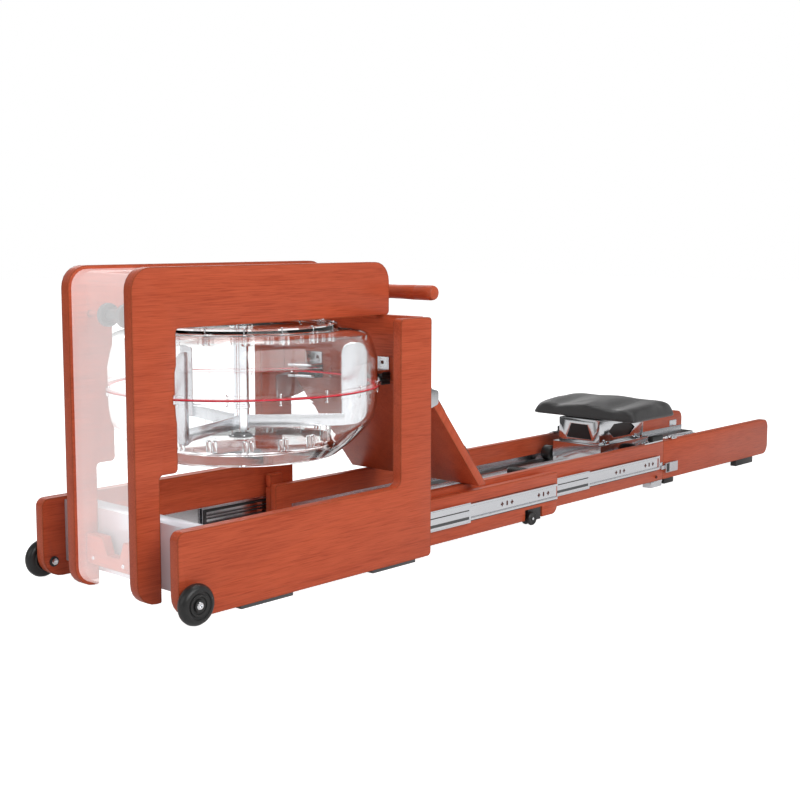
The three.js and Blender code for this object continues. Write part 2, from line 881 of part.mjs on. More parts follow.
// Strap: one turn round the drum, then between the guides to the handle
const guideX = crossBoardFrontX + guideRadius + gap;
{
  const innerRadius = drumRadius + gap;
  const ring = [
    [innerRadius, strapLowZ],
    [innerRadius + strapThickness, strapLowZ],
    [innerRadius + strapThickness, strapHighZ],
    [innerRadius, strapHighZ],
    [innerRadius, strapLowZ],
  ];
  const wrap = turnedZ(ring, drumSegments);
  wrap.translate(tankX, 0, 0);
  const middle = innerRadius + strapThickness / 2;
  const leave = -Math.acos(middle / (guideX - tankX));
  const path = [
    [tankX + middle * Math.cos(leave), middle * Math.sin(leave)],
    [guideX, 0],
    [handleX - handleRadius - gap, 0],
  ];
  add('strap', joined(wrap, alongZ(strip(path, strapThickness), strapLowZ, strapHighZ)), 'black');
}

// Handle cradle on the cross board, with the strap's two guides
{
  const cup = [];
  for (let degrees = 180; degrees <= 270; degrees += arcStepDegrees) {
    const turn = THREE.MathUtils.degToRad(degrees);
    const reach = handleRadius + gap;
    cup.push([handleX + reach * Math.cos(turn), handleZ + reach * Math.sin(turn)]);
  }
  const footZ = crossBoardTopZ + gap;
  const front = crossBoardFrontX;
  const prongTopZ = handleZ - handleRadius - gap;
  const prongEndX = handleX + cradleProngReach;
  const capZ = strapHighZ + cradleRoom;
  const cheek = outline([
    [front, footZ],
    [baseRearX, footZ],
    [baseRearX + cradleNoseReach, prongTopZ - cradleProngHeight],
    [prongEndX, prongTopZ - cradleProngHeight],
    [prongEndX, prongTopZ],
    ...cup.reverse(),
    [cup[cup.length - 1][0], handleZ + cradleNoseReach],
    [baseRearX, capZ + cradleCapHeight],
    [front, capZ + cradleCapHeight],
  ]);
  const guideY = guideRadius + strapThickness / 2 + guideSideGap;
  const capHalf = cradleCheekInnerHalf + buried;
  const pieces = [
    block(front, baseRearX, -cradleHalf, cradleHalf, footZ, footZ + cradleFootHeight),
    block(front, baseRearX, -capHalf, capHalf, capZ, capZ + cradleCapHeight),
  ];
  for (const side of sides) {
    const [low, high] = layer(side, cradleCheekInnerHalf, cradleCheekInnerHalf + cradleCheek);
    pieces.push(alongY(cheek, low, high));
    pieces.push(rodZ(guideRadius, guideX, side.sign * guideY, footZ + buried, capZ + buried, shaftSegments));
  }
  add('handle_cradle', joined(...pieces), 'black');
}

// Handle bar
{
  const shoulder = handleHalf - handleDome;
  const profile = [[0, -handleHalf]];
  for (let degrees = arcStepDegrees * 2; degrees <= 90; degrees += arcStepDegrees * 2) {
    const turn = THREE.MathUtils.degToRad(degrees);
    profile.push([handleRadius * Math.sin(turn), -shoulder - handleDome * Math.cos(turn)]);
  }
  const mirrored = profile.map(([r, h]) => [r, -h]).reverse();
  const bar = add('handle', turnedY([...profile, ...mirrored], shaftSegments), 'wood');
  bar.position.set(handleX, 0, handleZ);
}

// Front return pulley: two discs on one core, its axle in the tower panels
{
  const inner = pulleyDiscHalf - pulleyDiscWidth / 2;
  const outer = pulleyDiscHalf + pulleyDiscWidth / 2;
  const axle = towerInnerHalf + pulleyAxleDepth;
  const half = [
    [pulleyCoreRadius, inner],
    [pulleyRadius, inner],
    [pulleyRadius, outer],
    [pulleyAxleRadius, outer],
    [pulleyAxleRadius, axle],
    [0, axle],
  ];
  const mirrored = half.map(([r, h]) => [r, -h]).reverse();
  const pulley = add('return_pulley', turnedY([...mirrored, ...half], shaftSegments), 'black');
  pulley.position.set(pulleyX, 0, pulleyZ);
}

// Transport wheels: each turns with its axle in the base panel
for (const side of sides) {
  const head = baseInnerHalf - gap;
  const outer = wheelInnerHalf + wheelWidth;
  const profile = [
    [0, head - axleHeadHeight],
    [axleHeadRadius, head - axleHeadHeight],
    [axleHeadRadius, head],
    [axleRadius, head],
    [axleRadius, wheelInnerHalf],
    [wheelRadius - wheelChamfer, wheelInnerHalf],
    [wheelRadius, wheelInnerHalf + wheelChamfer],
    [wheelRadius, outer - wheelChamfer],
    [wheelRadius - wheelChamfer, outer],
    [wheelHubRadius, outer],
    [wheelHubRadius, outer - wheelHubRecess],
    [wheelCapRadius, outer - wheelHubRecess],
    [wheelCapRadius, outer + wheelCapStandout],
    [0, outer + wheelCapStandout],
  ];
  const geometry = turnedY(profile, wheelSegments);
  if (side.sign < 0) geometry.rotateZ(Math.PI);
  add(`wheel_${side.name}`, geometry, 'rubber').position.set(wheelX, 0, wheelZ);
}

// Floor pads: two under each panel, moulded on one thin strip
for (const side of sides) {
  const middle = side.sign * (baseInnerHalf + panelThickness / 2);
  const pad = (x) => block(x, x + padLength, middle - padWidth / 2, middle + padWidth / 2, 0, padThickness);
  const stripLowZ = padThickness - padStripThickness;
  const half = padStripWidth / 2;
  const webLow = middle - half;
  const webHigh = middle + half;
  const web = block(padFrontX + buried, padRearX + buried, webLow, webHigh, stripLowZ, padThickness);
  add(`floor_pads_${side.name}`, joined(pad(padFrontX), pad(padRearX), web), 'rubber');
}

// Slide members: places across are measured from the outer member's back towards its inner face
function slideSection(side, backHalf, back, lip, height, race, raceHeight) {
  const half = height / 2;
  const across = (share) => side.sign * (backHalf - share * slideThickness);
  const opens = Math.sign(lip - back);
  const wallShare = (opens * slideWall) / slideThickness;
  const raceShare = (opens * slideRaceWidth) / 2 / slideThickness;
  const ridge = [
    [across(race - raceShare), half],
    [across(race - raceShare), raceHeight / 2],
    [across(race + raceShare), raceHeight / 2],
    [across(race + raceShare), half],
  ];
  const points = [
    [across(back), half],
    ...(raceHeight > 0 ? ridge : []),
    [across(lip), half],
    [across(lip), half - slideWall],
    [across(back + wallShare), half - slideWall],
  ];
  const mirrored = points.map(([y, z]) => [y, -z]).reverse();
  return outline([...points, ...mirrored].map(([y, z]) => [y, z + slideCentreZ]));
}

function slideSet(side, names, backHalf, starts, length) {
  const outerRoom = slideHeight - 2 * slideWall - 2 * gap;
  const middleRoom = slideMiddleHeight - 2 * slideWall - 2 * gap;
  const innerBack = (slideGapWidth - 2 * gap) / slideThickness;
  const back = backHalf - gap;
  const sections = [
    slideSection(side, back, 0, slideOuterLipShare, slideHeight, 0, 0),
    slideSection(
      side, back, slideMiddleBackShare, slideMiddleLipShare, slideMiddleHeight,
      slideMiddleRaceShare, outerRoom,
    ),
    slideSection(
      side, back, innerBack, slideInnerLipShare, slideInnerHeight, slideInnerRaceShare, middleRoom,
    ),
  ];
  names.forEach((name, i) => {
    const geometry = alongX(sections[i], starts[i], starts[i] + length);
    add(`${name}_${side.name}`, geometry, 'steel');
  });
}

for (const side of sides) {
  const oneNames = ['slide_one_outer', 'slide_one_middle', 'slide_one_inner'];
  const oneStarts = [slideOneFrontX, slideOneMiddleX, slideOneInnerX];
  slideSet(side, oneNames, baseInnerHalf, oneStarts, slideOneLength);
  const twoNames = ['slide_two_outer', 'slide_two_middle', 'slide_two_inner'];
  const twoStarts = [slideTwoFrontX, slideTwoMiddleX, slideTwoInnerX];
  slideSet(side, twoNames, boardOneInnerHalf, twoStarts, slideTwoLength);
}

// Board 1 on each side, notched over its castor
for (const side of sides) {
  const shape = outline([
    [boardOneFrontX, boardOneBottomZ, boardCornerRadius],
    [boardOneRearX, boardOneBottomZ, boardOneRearRadius],
    [boardOneRearX, boardOneBottomZ + boardOneHeight, boardCornerRadius],
    [boardOneFrontX, boardOneBottomZ + boardOneHeight, boardCornerRadius],
  ]);
  const [low, high] = layer(side, boardOneInnerHalf, boardOneOuterHalf);
  const notch = block(
    castorX - castorRadius - castorNotchRoom,
    tieRearX + tieRearWidth + tieRearBehindCastor,
    low - overrun,
    high + overrun,
    boardOneBottomZ - overrun,
    castorNotchTopZ,
  );
  add(`board_one_${side.name}`, cut(alongY(shape, low, high), notch), 'wood');
}

// Tie under the first boards: front strip, spine, rear strip and the castors' forks
{
  const half = boardOneOuterHalf - gap;
  const tieRearEnd = tieRearX + tieRearWidth;
  const forkHalf = castorHalf + castorForkThickness / 2;
  const pieces = [
    block(tieFrontX, tieFrontX + tieFrontWidth, -half, half, tieLowZ, tieTopZ),
    block(tieFrontX + buried, tieRearEnd - buried, -tieSpineHalf, tieSpineHalf, tieLowZ, tieTopZ),
    block(tieRearX, tieRearEnd, -forkHalf, forkHalf, tieLowZ, tieTopZ),
  ];
  for (const side of sides) {
    const [low, high] = layer(side, castorHalf - castorForkThickness / 2, forkHalf);
    const fork = block(castorX - castorRadius / 2, tieRearEnd, low, high, tieLowZ, castorNotchTopZ - gap);
    const bore = castorAxleRadius + runningGap;
    pieces.push(cut(fork, rodY(bore, low - overrun, high + overrun, castorX, castorRadius, castorSegments)));
  }
  add('board_one_tie', joined(...pieces), 'black');
}

// Castor wheels: two discs on one axle
for (const side of sides) {
  const inner = castorForkThickness / 2 + castorForkGap;
  const outer = inner + castorDiscWidth;
  const half = [
    [castorAxleRadius, inner],
    [castorRadius, inner],
    [castorRadius, outer],
    [0, outer],
  ];
  const mirrored = half.map(([r, h]) => [r, -h]).reverse();
  const wheel = add(`castor_${side.name}`, turnedY([...mirrored, ...half], castorSegments), 'rubber');
  wheel.position.set(castorX, side.sign * castorHalf, castorRadius);
}

// Board 2 and the tail board on each side
for (const side of sides) {
  const [low, high] = layer(side, boardTwoInnerHalf, boardTwoOuterHalf);
  const front = outline([
    [boardTwoFrontX, boardTwoBottomZ, boardCornerRadius],
    [seamX, boardTwoBottomZ, seamCornerRadius],
    [seamX, boardTwoTopZ, seamCornerRadius],
    [boardTwoFrontX, boardTwoTopZ, boardCornerRadius],
  ]);
  const tail = outline([
    [tailFrontX, boardTwoBottomZ, seamCornerRadius],
    [tailEndX, boardTwoBottomZ, tailCornerRadius],
    [tailEndX, boardTwoTopZ, tailCornerRadius],
    [tailFrontX, boardTwoTopZ, seamCornerRadius],
  ]);
  add(`board_two_${side.name}`, alongY(front, low, high), 'wood');
  add(`tail_board_${side.name}`, alongY(tail, low, high), 'wood');
}

// Seat track: a running strip on each side and the bars that tie the two together
function trackPieces(front, rear, tieShares) {
  const pieces = [];
  for (const side of sides) {
    const y = (half) => side.sign * half;
    const shape = outline([
      [y(trackInnerHalf), tieBarLowZ],
      [y(trackInnerHalf + trackThickness), tieBarLowZ],
      [y(trackInnerHalf + trackThickness), trackLowZ],
      [y(trackOuterHalf), trackLowZ],
      [y(trackOuterHalf), trackSurfaceZ + trackWebHeight],
      [y(trackOuterHalf - trackThickness), trackSurfaceZ + trackWebHeight],
      [y(trackOuterHalf - trackThickness), trackSurfaceZ],
      [y(trackInnerHalf), trackSurfaceZ],
    ]);
    pieces.push(alongX(shape, front, rear));
  }
  const reach = trackInnerHalf + trackThickness / 2;
  for (const share of tieShares) {
    const x = front + share * (rear - front);
    pieces.push(block(x, x + trackTieWidth, -reach, reach, tieBarLowZ, tieBarLowZ + trackTieThickness));
  }
  return pieces;
}

// Track of the second stage, with its front stops and its rear feet
{
  const pieces = trackPieces(trackFrontX, trackRearX, trackTieShares);
  const footFrontX = seamX - stageFootAheadOfSeam;
  const footRearX = footFrontX + stageFootLength;
  const legTopZ = trackSurfaceZ - buried;
  for (const side of sides) {
    const [stopLow, stopHigh] = layer(side, stopInnerHalf, trackOuterHalf);
    pieces.push(rodY(stopRadius, stopLow, stopHigh, stopX, stopZ, castorSegments));
    const [postLow, postHigh] = layer(side, trackOuterHalf - trackThickness, trackOuterHalf);
    const post = stopPostWidth / 2;
    pieces.push(block(stopX - post, stopX + post, postLow, postHigh, trackSurfaceZ, stopZ));
    const legInner = trackOuterHalf - stageFootLegWidth;
    const [legLow, legHigh] = layer(side, legInner, trackOuterHalf);
    pieces.push(block(footFrontX, footRearX, legLow, legHigh, stageFootLift, legTopZ));
    const [footLow, footHigh] = layer(side, legInner, boardTwoOuterHalf);
    pieces.push(block(footFrontX, footRearX, footLow, footHigh, stageFootLift, boardTwoBottomZ - gap));
  }
  add('seat_track', joined(...pieces), 'steel');
}
add('tail_track', joined(...trackPieces(tailTrackFrontX, tailTrackRearX, tailTieShares)), 'steel');

// Tail foot: a pad under each tail board, joined by a bar
{
  const middleX = tailEndX - tailFootFromEnd + tailFootLength / 2;
  const top = boardTwoBottomZ - gap;
  const halfBar = tailFootBarLength / 2;
  const reach = boardTwoInnerHalf + buried;
  const pieces = [block(middleX - halfBar, middleX + halfBar, -reach, reach, top - tailFootBarHeight, top)];
  for (const side of sides) {
    const [low, high] = layer(side, boardTwoInnerHalf, boardTwoOuterHalf);
    pieces.push(block(middleX - tailFootLength / 2, middleX + tailFootLength / 2, low, high, 0, top));
  }
  add('tail_foot', joined(...pieces), 'black');
}

// Tail hinges: the base half reaches over the seam, the leaf half is on the tail board
for (const side of sides) {
  const middle = (boardTwoInnerHalf + boardTwoOuterHalf) / 2;
  const inner = boardTwoInnerHalf + hingeEdgeMargin;
  const outer = boardTwoOuterHalf - hingeEdgeMargin;
  const low = boardTwoTopZ + gap;
  const plateFrontX = seamX - hingePlateAheadOfSeam;
  const blockFrontX = seamX - hingeBlockAheadOfSeam;
  const blockRearX = seamX - hingeBlockRearSetback;
  const topZ = hingeZ + hingeKnuckleRadius;
  const [plateLow, plateHigh] = layer(side, inner, outer);
  const [armLow, armHigh] = layer(side, inner, middle - hingeSideGap / 2);
  const [leafLow, leafHigh] = layer(side, middle + hingeSideGap / 2, outer);
  const [pinLow, pinHigh] = layer(side, inner, outer);
  const knuckle = (a, b) => rodY(hingeKnuckleRadius, a, b, hingeX, hingeZ, shaftSegments);
  const base = joined(
    block(plateFrontX, blockRearX, plateLow, plateHigh, low, low + hingePlateThickness),
    block(blockFrontX, blockRearX, plateLow, plateHigh, low, low + hingeBlockHeight),
    block(blockRearX - buried, hingeX, armLow, armHigh, low, topZ),
    knuckle(armLow, armHigh),
    rodY(hingePinRadius, pinLow, pinHigh, hingeX, hingeZ, castorSegments),
  );
  add(`hinge_base_${side.name}`, base, 'steel');
  const leafEndX = hingeX + hingeLeafReach;
  const pinBore = hingePinRadius + runningGap;
  const leaf = cut(
    joined(
      knuckle(leafLow, leafHigh),
      block(hingeX, leafEndX, leafLow, leafHigh, low, low + hingePlateThickness),
      block(leafEndX - hingeLeafReach / 2, leafEndX, plateLow, plateHigh, low, low + hingePlateThickness),
    ),
    rodY(pinBore, leafLow - overrun, leafHigh + overrun, hingeX, hingeZ, castorSegments),
  );
  add(`hinge_leaf_${side.name}`, leaf, 'steel');
}

// Seat pad: a plain closed slab with rounded edges
{
  const rear = padFrontSeatX + padDepth;
  const inset = padBevel;
  const shape = outline([
    [padFrontSeatX + inset, -padHalf + inset, padCornerRadius - inset],
    [rear - inset, -padHalf + inset, padCornerRadius - inset],
    [rear - inset, padHalf - inset, padCornerRadius - inset],
    [padFrontSeatX + inset, padHalf - inset, padCornerRadius - inset],
  ]);
  const geometry = new THREE.ExtrudeGeometry(shape, {
    depth: padHeight - 2 * padBevel,
    bevelSize: padBevel,
    bevelThickness: padBevel,
    bevelSegments: 2,
    steps: 1,
  });
  geometry.translate(0, 0, padBottomZ + padBevel);
  add('seat_pad', geometry, 'cushion');
}

// Seat bracket: a steel box, open below, with windows in its four walls
{
  const rear = bracketFrontX + bracketDepth;
  const height = bracketHighZ - bracketLowZ;
  const shell = block(bracketFrontX, rear, -bracketHalf, bracketHalf, bracketLowZ, bracketHighZ);
  const room = block(
    bracketFrontX + bracketWall,
    rear - bracketWall,
    -bracketHalf + bracketWall,
    bracketHalf - bracketWall,
    bracketLowZ - overrun,
    bracketHighZ - bracketWall,
  );
  const frontPoints = bracketFrontWindowShares.map(([y, z]) => [y * bracketHalf, bracketLowZ + z * height]);
  const front = outline(frontPoints);
  const sidePoints = bracketSideWindowShares.map(([x, z]) => {
    return [bracketFrontX + x * bracketDepth, bracketLowZ + z * height];
  });
  const through = alongX(front, bracketFrontX - overrun, rear + overrun);
  const across = alongY(outline(sidePoints), -bracketHalf - overrun, bracketHalf + overrun);
  add('seat_bracket', cut(shell, room, through, across), 'steel');
}

// Seat truck: plate, sides that carry the roller axles, and a dropped front
{
  const rear = truckFrontX + truckDepth;
  const plateZ = truckTopZ - truckWall;
  const pieces = [
    block(truckFrontX, rear, -truckHalf, truckHalf, plateZ, truckTopZ),
    block(
      truckFrontX, truckFrontX + truckWall, -truckHalf, truckHalf, plateZ - truckFrontDrop, plateZ + buried,
    ),
  ];
  for (const side of sides) {
    const [low, high] = layer(side, truckHalf - truckWall, truckHalf);
    pieces.push(block(truckFrontX + buried, rear, low, high, plateZ - truckSideDrop, truckTopZ - buried));
  }
  const bores = [rollerFrontX, rollerRearX].map((x) => {
    const reach = truckHalf + overrun;
    return rodY(rollerAxleRadius + runningGap, -reach, reach, x, rollerZ, rollerSegments);
  });
  add('seat_truck', cut(joined(...pieces), ...bores), 'steel');
}

// Seat rollers: a pair on one axle, in front and at the rear
for (const [name, x] of [['seat_rollers_front', rollerFrontX], ['seat_rollers_rear', rollerRearX]]) {
  const half = [
    [rollerAxleRadius, rollerInnerHalf],
    [rollerRadius - rollerChamfer, rollerInnerHalf],
    [rollerRadius, rollerInnerHalf + rollerChamfer],
    [rollerRadius, rollerOuterHalf - rollerChamfer],
    [rollerRadius - rollerChamfer, rollerOuterHalf],
    [0, rollerOuterHalf],
  ];
  const mirrored = half.map(([r, h]) => [r, -h]).reverse();
  add(name, turnedY([...mirrored, ...half], rollerSegments), 'black').position.set(x, 0, rollerZ);
}

// Footboard: both ends cut level, and a blind bore for the pin in each side edge
const slope = THREE.MathUtils.degToRad(footboardAngle);
{
  const halfAcross = footboardThickness / 2 / Math.sin(slope);
  const middleX = (z) => footboardPivotX + (footboardPivotZ - z) / Math.tan(slope);
  const shape = outline([
    [middleX(footboardLowZ) - halfAcross, footboardLowZ, footboardCornerRadius],
    [middleX(footboardLowZ) + halfAcross, footboardLowZ, footboardCornerRadius],
    [middleX(footboardHighZ) + halfAcross, footboardHighZ, footboardCornerRadius],
    [middleX(footboardHighZ) - halfAcross, footboardHighZ, footboardCornerRadius],
  ]);
  const bores = sides.map((side) => {
    const [low, high] = layer(side, footboardHalf - footboardPinDepth, footboardHalf + overrun);
    return rodY(footboardPinRadius + runningGap, low, high, footboardPivotX, footboardPivotZ, shaftSegments);
  });
  add('footboard', cut(alongY(shape, -footboardHalf, footboardHalf), ...bores), 'wood');
}

// Footboard brackets: a plate on each upright's inner face, with the pivot pin
for (const side of sides) {
  const plateOuter = baseInnerHalf - gap;
  const plateInner = plateOuter - bracketPlateThickness;
  const front = baseRearX - bracketPlateDepth;
  const half = bracketPlateHeight / 2;
  const noseX = footboardPivotX + bracketPlateNoseRadius;
  const shape = outline([
    [front, footboardPivotZ - half, bracketPlateNoseRadius / 2],
    [baseRearX, footboardPivotZ - half, bracketPlateNoseRadius / 2],
    [noseX, footboardPivotZ - bracketPlateNoseRadius, bracketPlateNoseRadius / 2],
    [noseX, footboardPivotZ + bracketPlateNoseRadius, bracketPlateNoseRadius / 2],
    [baseRearX, footboardPivotZ + half, bracketPlateNoseRadius / 2],
    [front, footboardPivotZ + half, bracketPlateNoseRadius / 2],
  ]);
  const [low, high] = layer(side, plateInner, plateOuter);
  const pinInner = footboardHalf - footboardPinDepth + gap;
  const [pinLow, pinHigh] = layer(side, pinInner, plateOuter - buried);
  const pin = rodY(footboardPinRadius, pinLow, pinHigh, footboardPivotX, footboardPivotZ, shaftSegments);
  add(`footboard_bracket_${side.name}`, joined(alongY(shape, low, high), pin), 'steel');
}

// Foot rests: two soles with heel cups, moulded as one piece, lying on the footboard's top face.
// They are drawn flat, +X down the board and +Z off its face, and then turned with it.
{
  const pieces = [];
  const low = gap;
  const high = low + footRestThickness;
  const end = footRestLength;
  for (const side of sides) {
    const [inner, outer] = layer(side, footRestHalfSpan - footRestWidth, footRestHalfSpan);
    const sole = outline([
      [0, inner, footRestCornerRadius],
      [end, inner, footRestCornerRadius],
      [end, outer, footRestCornerRadius],
      [0, outer, footRestCornerRadius],
    ]);
    const cup = outline([
      [end - heelCupDepth, inner, heelCupWall],
      [end, inner, footRestCornerRadius],
      [end, outer, footRestCornerRadius],
      [end - heelCupDepth, outer, heelCupWall],
    ]);
    const room = outline([
      [end - heelCupDepth - overrun, inner + heelCupWall],
      [end - heelCupWall, inner + heelCupWall, footRestCornerRadius - heelCupWall],
      [end - heelCupWall, outer - heelCupWall, footRestCornerRadius - heelCupWall],
      [end - heelCupDepth - overrun, outer - heelCupWall],
    ]);
    const wall = cut(
      alongZ(cup, low, low + heelCupHeight),
      alongZ(room, high - buried, low + heelCupHeight + overrun),
    );
    pieces.push(alongZ(sole, low, high), wall);
  }
  const bridgeX = (end - footRestBridge) / 2;
  const reach = footRestHalfSpan - footRestWidth + buried;
  pieces.push(block(bridgeX, bridgeX + footRestBridge, -reach, reach, low, high));
  const rests = add('foot_rests', joined(...pieces), 'black');
  const lowEnd = (footboardPivotZ - footboardLowZ) / Math.sin(slope);
  const start = lowEnd - footRestFromLowEnd - footRestLength;
  const lift = footboardThickness / 2;
  rests.rotation.y = slope;
  rests.position.set(
    footboardPivotX + start * Math.cos(slope) + lift * Math.sin(slope),
    0,
    footboardPivotZ - start * Math.sin(slope) + lift * Math.cos(slope),
  );
}

export default root;
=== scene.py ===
# %% [markdown]
# # A water rowing machine
# This lesson dresses the frame of a folding water rower: lacquered wooden panels, a clear tank
# with a paddle, a rail that telescopes on ball-bearing slides, a padded seat and a tail that
# folds up. The frame already holds every solid in its place, in metres, with +Z up and +X
# towards the tail. Solids whose shape is right keep their mesh and get a soft edge and a
# finish. Round, clear and padded pieces are made again here as smooth surfaces.

# %% Load the frame
import math

import bmesh
import bpy
import numpy as np
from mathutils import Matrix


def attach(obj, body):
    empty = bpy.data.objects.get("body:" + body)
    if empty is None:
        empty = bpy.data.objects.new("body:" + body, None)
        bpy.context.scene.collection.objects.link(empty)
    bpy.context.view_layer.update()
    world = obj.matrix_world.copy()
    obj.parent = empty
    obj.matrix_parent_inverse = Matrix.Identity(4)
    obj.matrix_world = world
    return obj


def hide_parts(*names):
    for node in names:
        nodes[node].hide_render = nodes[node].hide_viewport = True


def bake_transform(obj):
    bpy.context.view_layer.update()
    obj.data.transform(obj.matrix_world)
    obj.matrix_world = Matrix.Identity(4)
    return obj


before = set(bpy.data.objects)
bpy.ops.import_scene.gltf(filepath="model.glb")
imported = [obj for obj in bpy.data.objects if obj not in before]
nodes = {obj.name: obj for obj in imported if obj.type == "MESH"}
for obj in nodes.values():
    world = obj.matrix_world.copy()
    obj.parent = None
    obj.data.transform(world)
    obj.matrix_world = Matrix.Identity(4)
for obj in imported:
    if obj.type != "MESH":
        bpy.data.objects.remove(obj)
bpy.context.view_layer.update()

SIDES = {"near": -1, "far": 1}

# %% [markdown]
# The camera stands in front of the machine, on the near side and a little above it. A long
# lens keeps the boards nearly parallel, and a small shift gives the photograph's framing.

# %% Camera
CAMERA_PLACE = (-2.3338, -1.8399, 0.6285)
CAMERA_YAW = -46.5714
CAMERA_TILT = 83.3264
CAMERA_LENS = 58.834
CAMERA_SHIFT = (0.0343, -0.0164)

camera_data = bpy.data.cameras.new("studio_camera")
camera_data.lens = CAMERA_LENS
camera_data.sensor_width = 36
camera_data.shift_x, camera_data.shift_y = CAMERA_SHIFT
camera = bpy.data.objects.new("studio_camera", camera_data)
camera.location = CAMERA_PLACE
camera.rotation_euler = (math.radians(CAMERA_TILT), 0, math.radians(CAMERA_YAW))
scene = bpy.context.scene
scene.collection.objects.link(camera)
scene.camera = camera
print("camera at", CAMERA_PLACE, "with a lens of", CAMERA_LENS, "mm")

# %% [markdown]
# A product studio: the backdrop is white, and what the lacquer and the plated steel mirror is
# a little darker, with a grey band low down and dark patches as flags would give, so that they
# don't turn flat white. Large soft lights model the panels. The floor glows faintly, as paper
# lit from all round does, and keeps only the shadows right under the machine.

# %% Studio light
scene.view_settings.view_transform = "Standard"
world = bpy.data.worlds.new("studio_world")
scene.world = world
world.use_nodes = True
sky = world.node_tree
sky.nodes.clear()


def add_node(tree, kind, **inputs):
    """A new node with its inputs set by name; underscores in a name stand for spaces."""
    node = tree.nodes.new(kind)
    for label, value in inputs.items():
        node.inputs[label.replace("_", " ")].default_value = value
    return node


def ramp(tree, factor, stops):
    """A colour ramp over (position, grey or colour) stops; returns its colour output."""
    node = tree.nodes.new("ShaderNodeValToRGB")
    elements = node.color_ramp.elements
    while len(elements) < len(stops):
        elements.new(0.5)
    for element, (position, value) in zip(elements, stops):
        element.position = position
        element.color = (value, value, value, 1) if isinstance(value, (int, float)) else value
    tree.links.new(factor, node.inputs["Fac"])
    return node.outputs["Color"]


sky_place = add_node(sky, "ShaderNodeTexCoord")
sky_height = add_node(sky, "ShaderNodeSeparateXYZ")
sky.links.new(sky_place.outputs["Generated"], sky_height.inputs["Vector"])
mirrored_sky = add_node(sky, "ShaderNodeBackground", Strength=0.62)
sky_bands = [(0.0, 0.6), (0.02, 0.22), (0.05, 0.26), (0.09, 0.95), (0.6, 1.0)]
flags = add_node(sky, "ShaderNodeTexNoise", Scale=1.7, Detail=0.0)
sky.links.new(sky_place.outputs["Generated"], flags.inputs["Vector"])
dimmed = add_node(sky, "ShaderNodeMix", Factor=1.0)
dimmed.data_type = "RGBA"
dimmed.blend_type = "MULTIPLY"
sky.links.new(ramp(sky, sky_height.outputs["Z"], sky_bands), dimmed.inputs[6])
sky.links.new(ramp(sky, flags.outputs["Fac"], [(0.42, 0.14), (0.52, 1.0)]), dimmed.inputs[7])
sky.links.new(dimmed.outputs[2], mirrored_sky.inputs["Color"])
backdrop = add_node(sky, "ShaderNodeBackground", Color=(1, 1, 1, 1), Strength=1.0)
seen_directly = add_node(sky, "ShaderNodeLightPath")
sky_mix = add_node(sky, "ShaderNodeMixShader")
sky_out = add_node(sky, "ShaderNodeOutputWorld")
seen_plain = sky.nodes.new("ShaderNodeMath")
seen_plain.operation = "MAXIMUM"
sky.links.new(seen_directly.outputs["Is Camera Ray"], seen_plain.inputs[0])
sky.links.new(seen_directly.outputs["Is Transmission Ray"], seen_plain.inputs[1])
sky.links.new(seen_plain.outputs["Value"], sky_mix.inputs["Fac"])
sky.links.new(mirrored_sky.outputs["Background"], sky_mix.inputs[1])
sky.links.new(backdrop.outputs["Background"], sky_mix.inputs[2])
sky.links.new(sky_mix.outputs["Shader"], sky_out.inputs["Surface"])


def soft_light(name, place, aim, size, power):
    """A rectangular area light at a place, turned so that its -Z axis points at the aim."""
    data = bpy.data.lights.new(name, "AREA")
    data.shape = "RECTANGLE"
    data.size, data.size_y = size
    data.energy = power
    light = bpy.data.objects.new(name, data)
    light.location = place
    away = np.array(aim) - np.array(place)
    lean = math.atan2(math.hypot(away[0], away[1]), -away[2])
    light.rotation_euler = (lean, 0, math.atan2(away[1], away[0]) - math.pi / 2)
    scene.collection.objects.link(light)


soft_light("key_light", (-1.2, -3.4, 2.2), (-0.2, 0, 0.2), (3.4, 1.8), 76)
soft_light("front_light", (-3.8, 0.4, 1.5), (-0.8, 0, 0.3), (1.6, 2.0), 13)
soft_light("back_light", (1.8, 3.0, 2.2), (0.1, 0, 0.1), (3.4, 1.4), 26)
soft_light("top_light", (0.1, 0.0, 3.2), (0.1, 0, 0), (3.8, 1.6), 36)
print("studio: 4 soft lights and a white world")

# %% [markdown]
# Finishes share three effects, each a node group that is built once. Wood grain is noise
# drawn out along one axis, with fine dark pores on top. Edge wear finds the edges by how far
# a rounded normal leans from the true one: 1 - n . r is 0 on a flat face and grows to an edge.
# On the wood the mask runs along every edge and is painted reflection: the dark line that
# rounded lacquered edges show. Smudges are a slow noise that makes the gloss uneven.

# %% Helpers for node trees


def new_group(name, inputs, outputs):
    """An empty shader group with (name, kind, value) inputs and (name, kind) outputs."""
    group = bpy.data.node_groups.new(name, "ShaderNodeTree")
    for label, kind, value in inputs:
        socket = group.interface.new_socket(label, in_out="INPUT", socket_type=kind)
        if value is not None:
            socket.default_value = value
    for label, kind in outputs:
        group.interface.new_socket(label, in_out="OUTPUT", socket_type=kind)
    values = group.nodes.new("NodeGroupInput").outputs
    return group, values, group.nodes.new("NodeGroupOutput").inputs


def feed(tree, socket, value):
    """Links an output to a socket, or sets the socket to a plain value."""
    if isinstance(value, bpy.types.NodeSocket):
        tree.links.new(value, socket)
    else:
        socket.default_value = value


def calc(tree, operation, a, b=0.0):
    """A math node on two outputs or numbers; returns its output."""
    node = tree.nodes.new("ShaderNodeMath")
    node.operation = operation
    feed(tree, node.inputs[0], a)
    feed(tree, node.inputs[1], b)
    return node.outputs[0]


def mix(tree, blend, factor, a, b):
    """A colour mix of a and b, each an output or a colour; returns its output."""
    node = tree.nodes.new("ShaderNodeMix")
    node.data_type = "RGBA"
    node.blend_type = blend
    feed(tree, node.inputs[0], factor)
    feed(tree, node.inputs[6], a)
    feed(tree, node.inputs[7], b)
    return node.outputs[2]


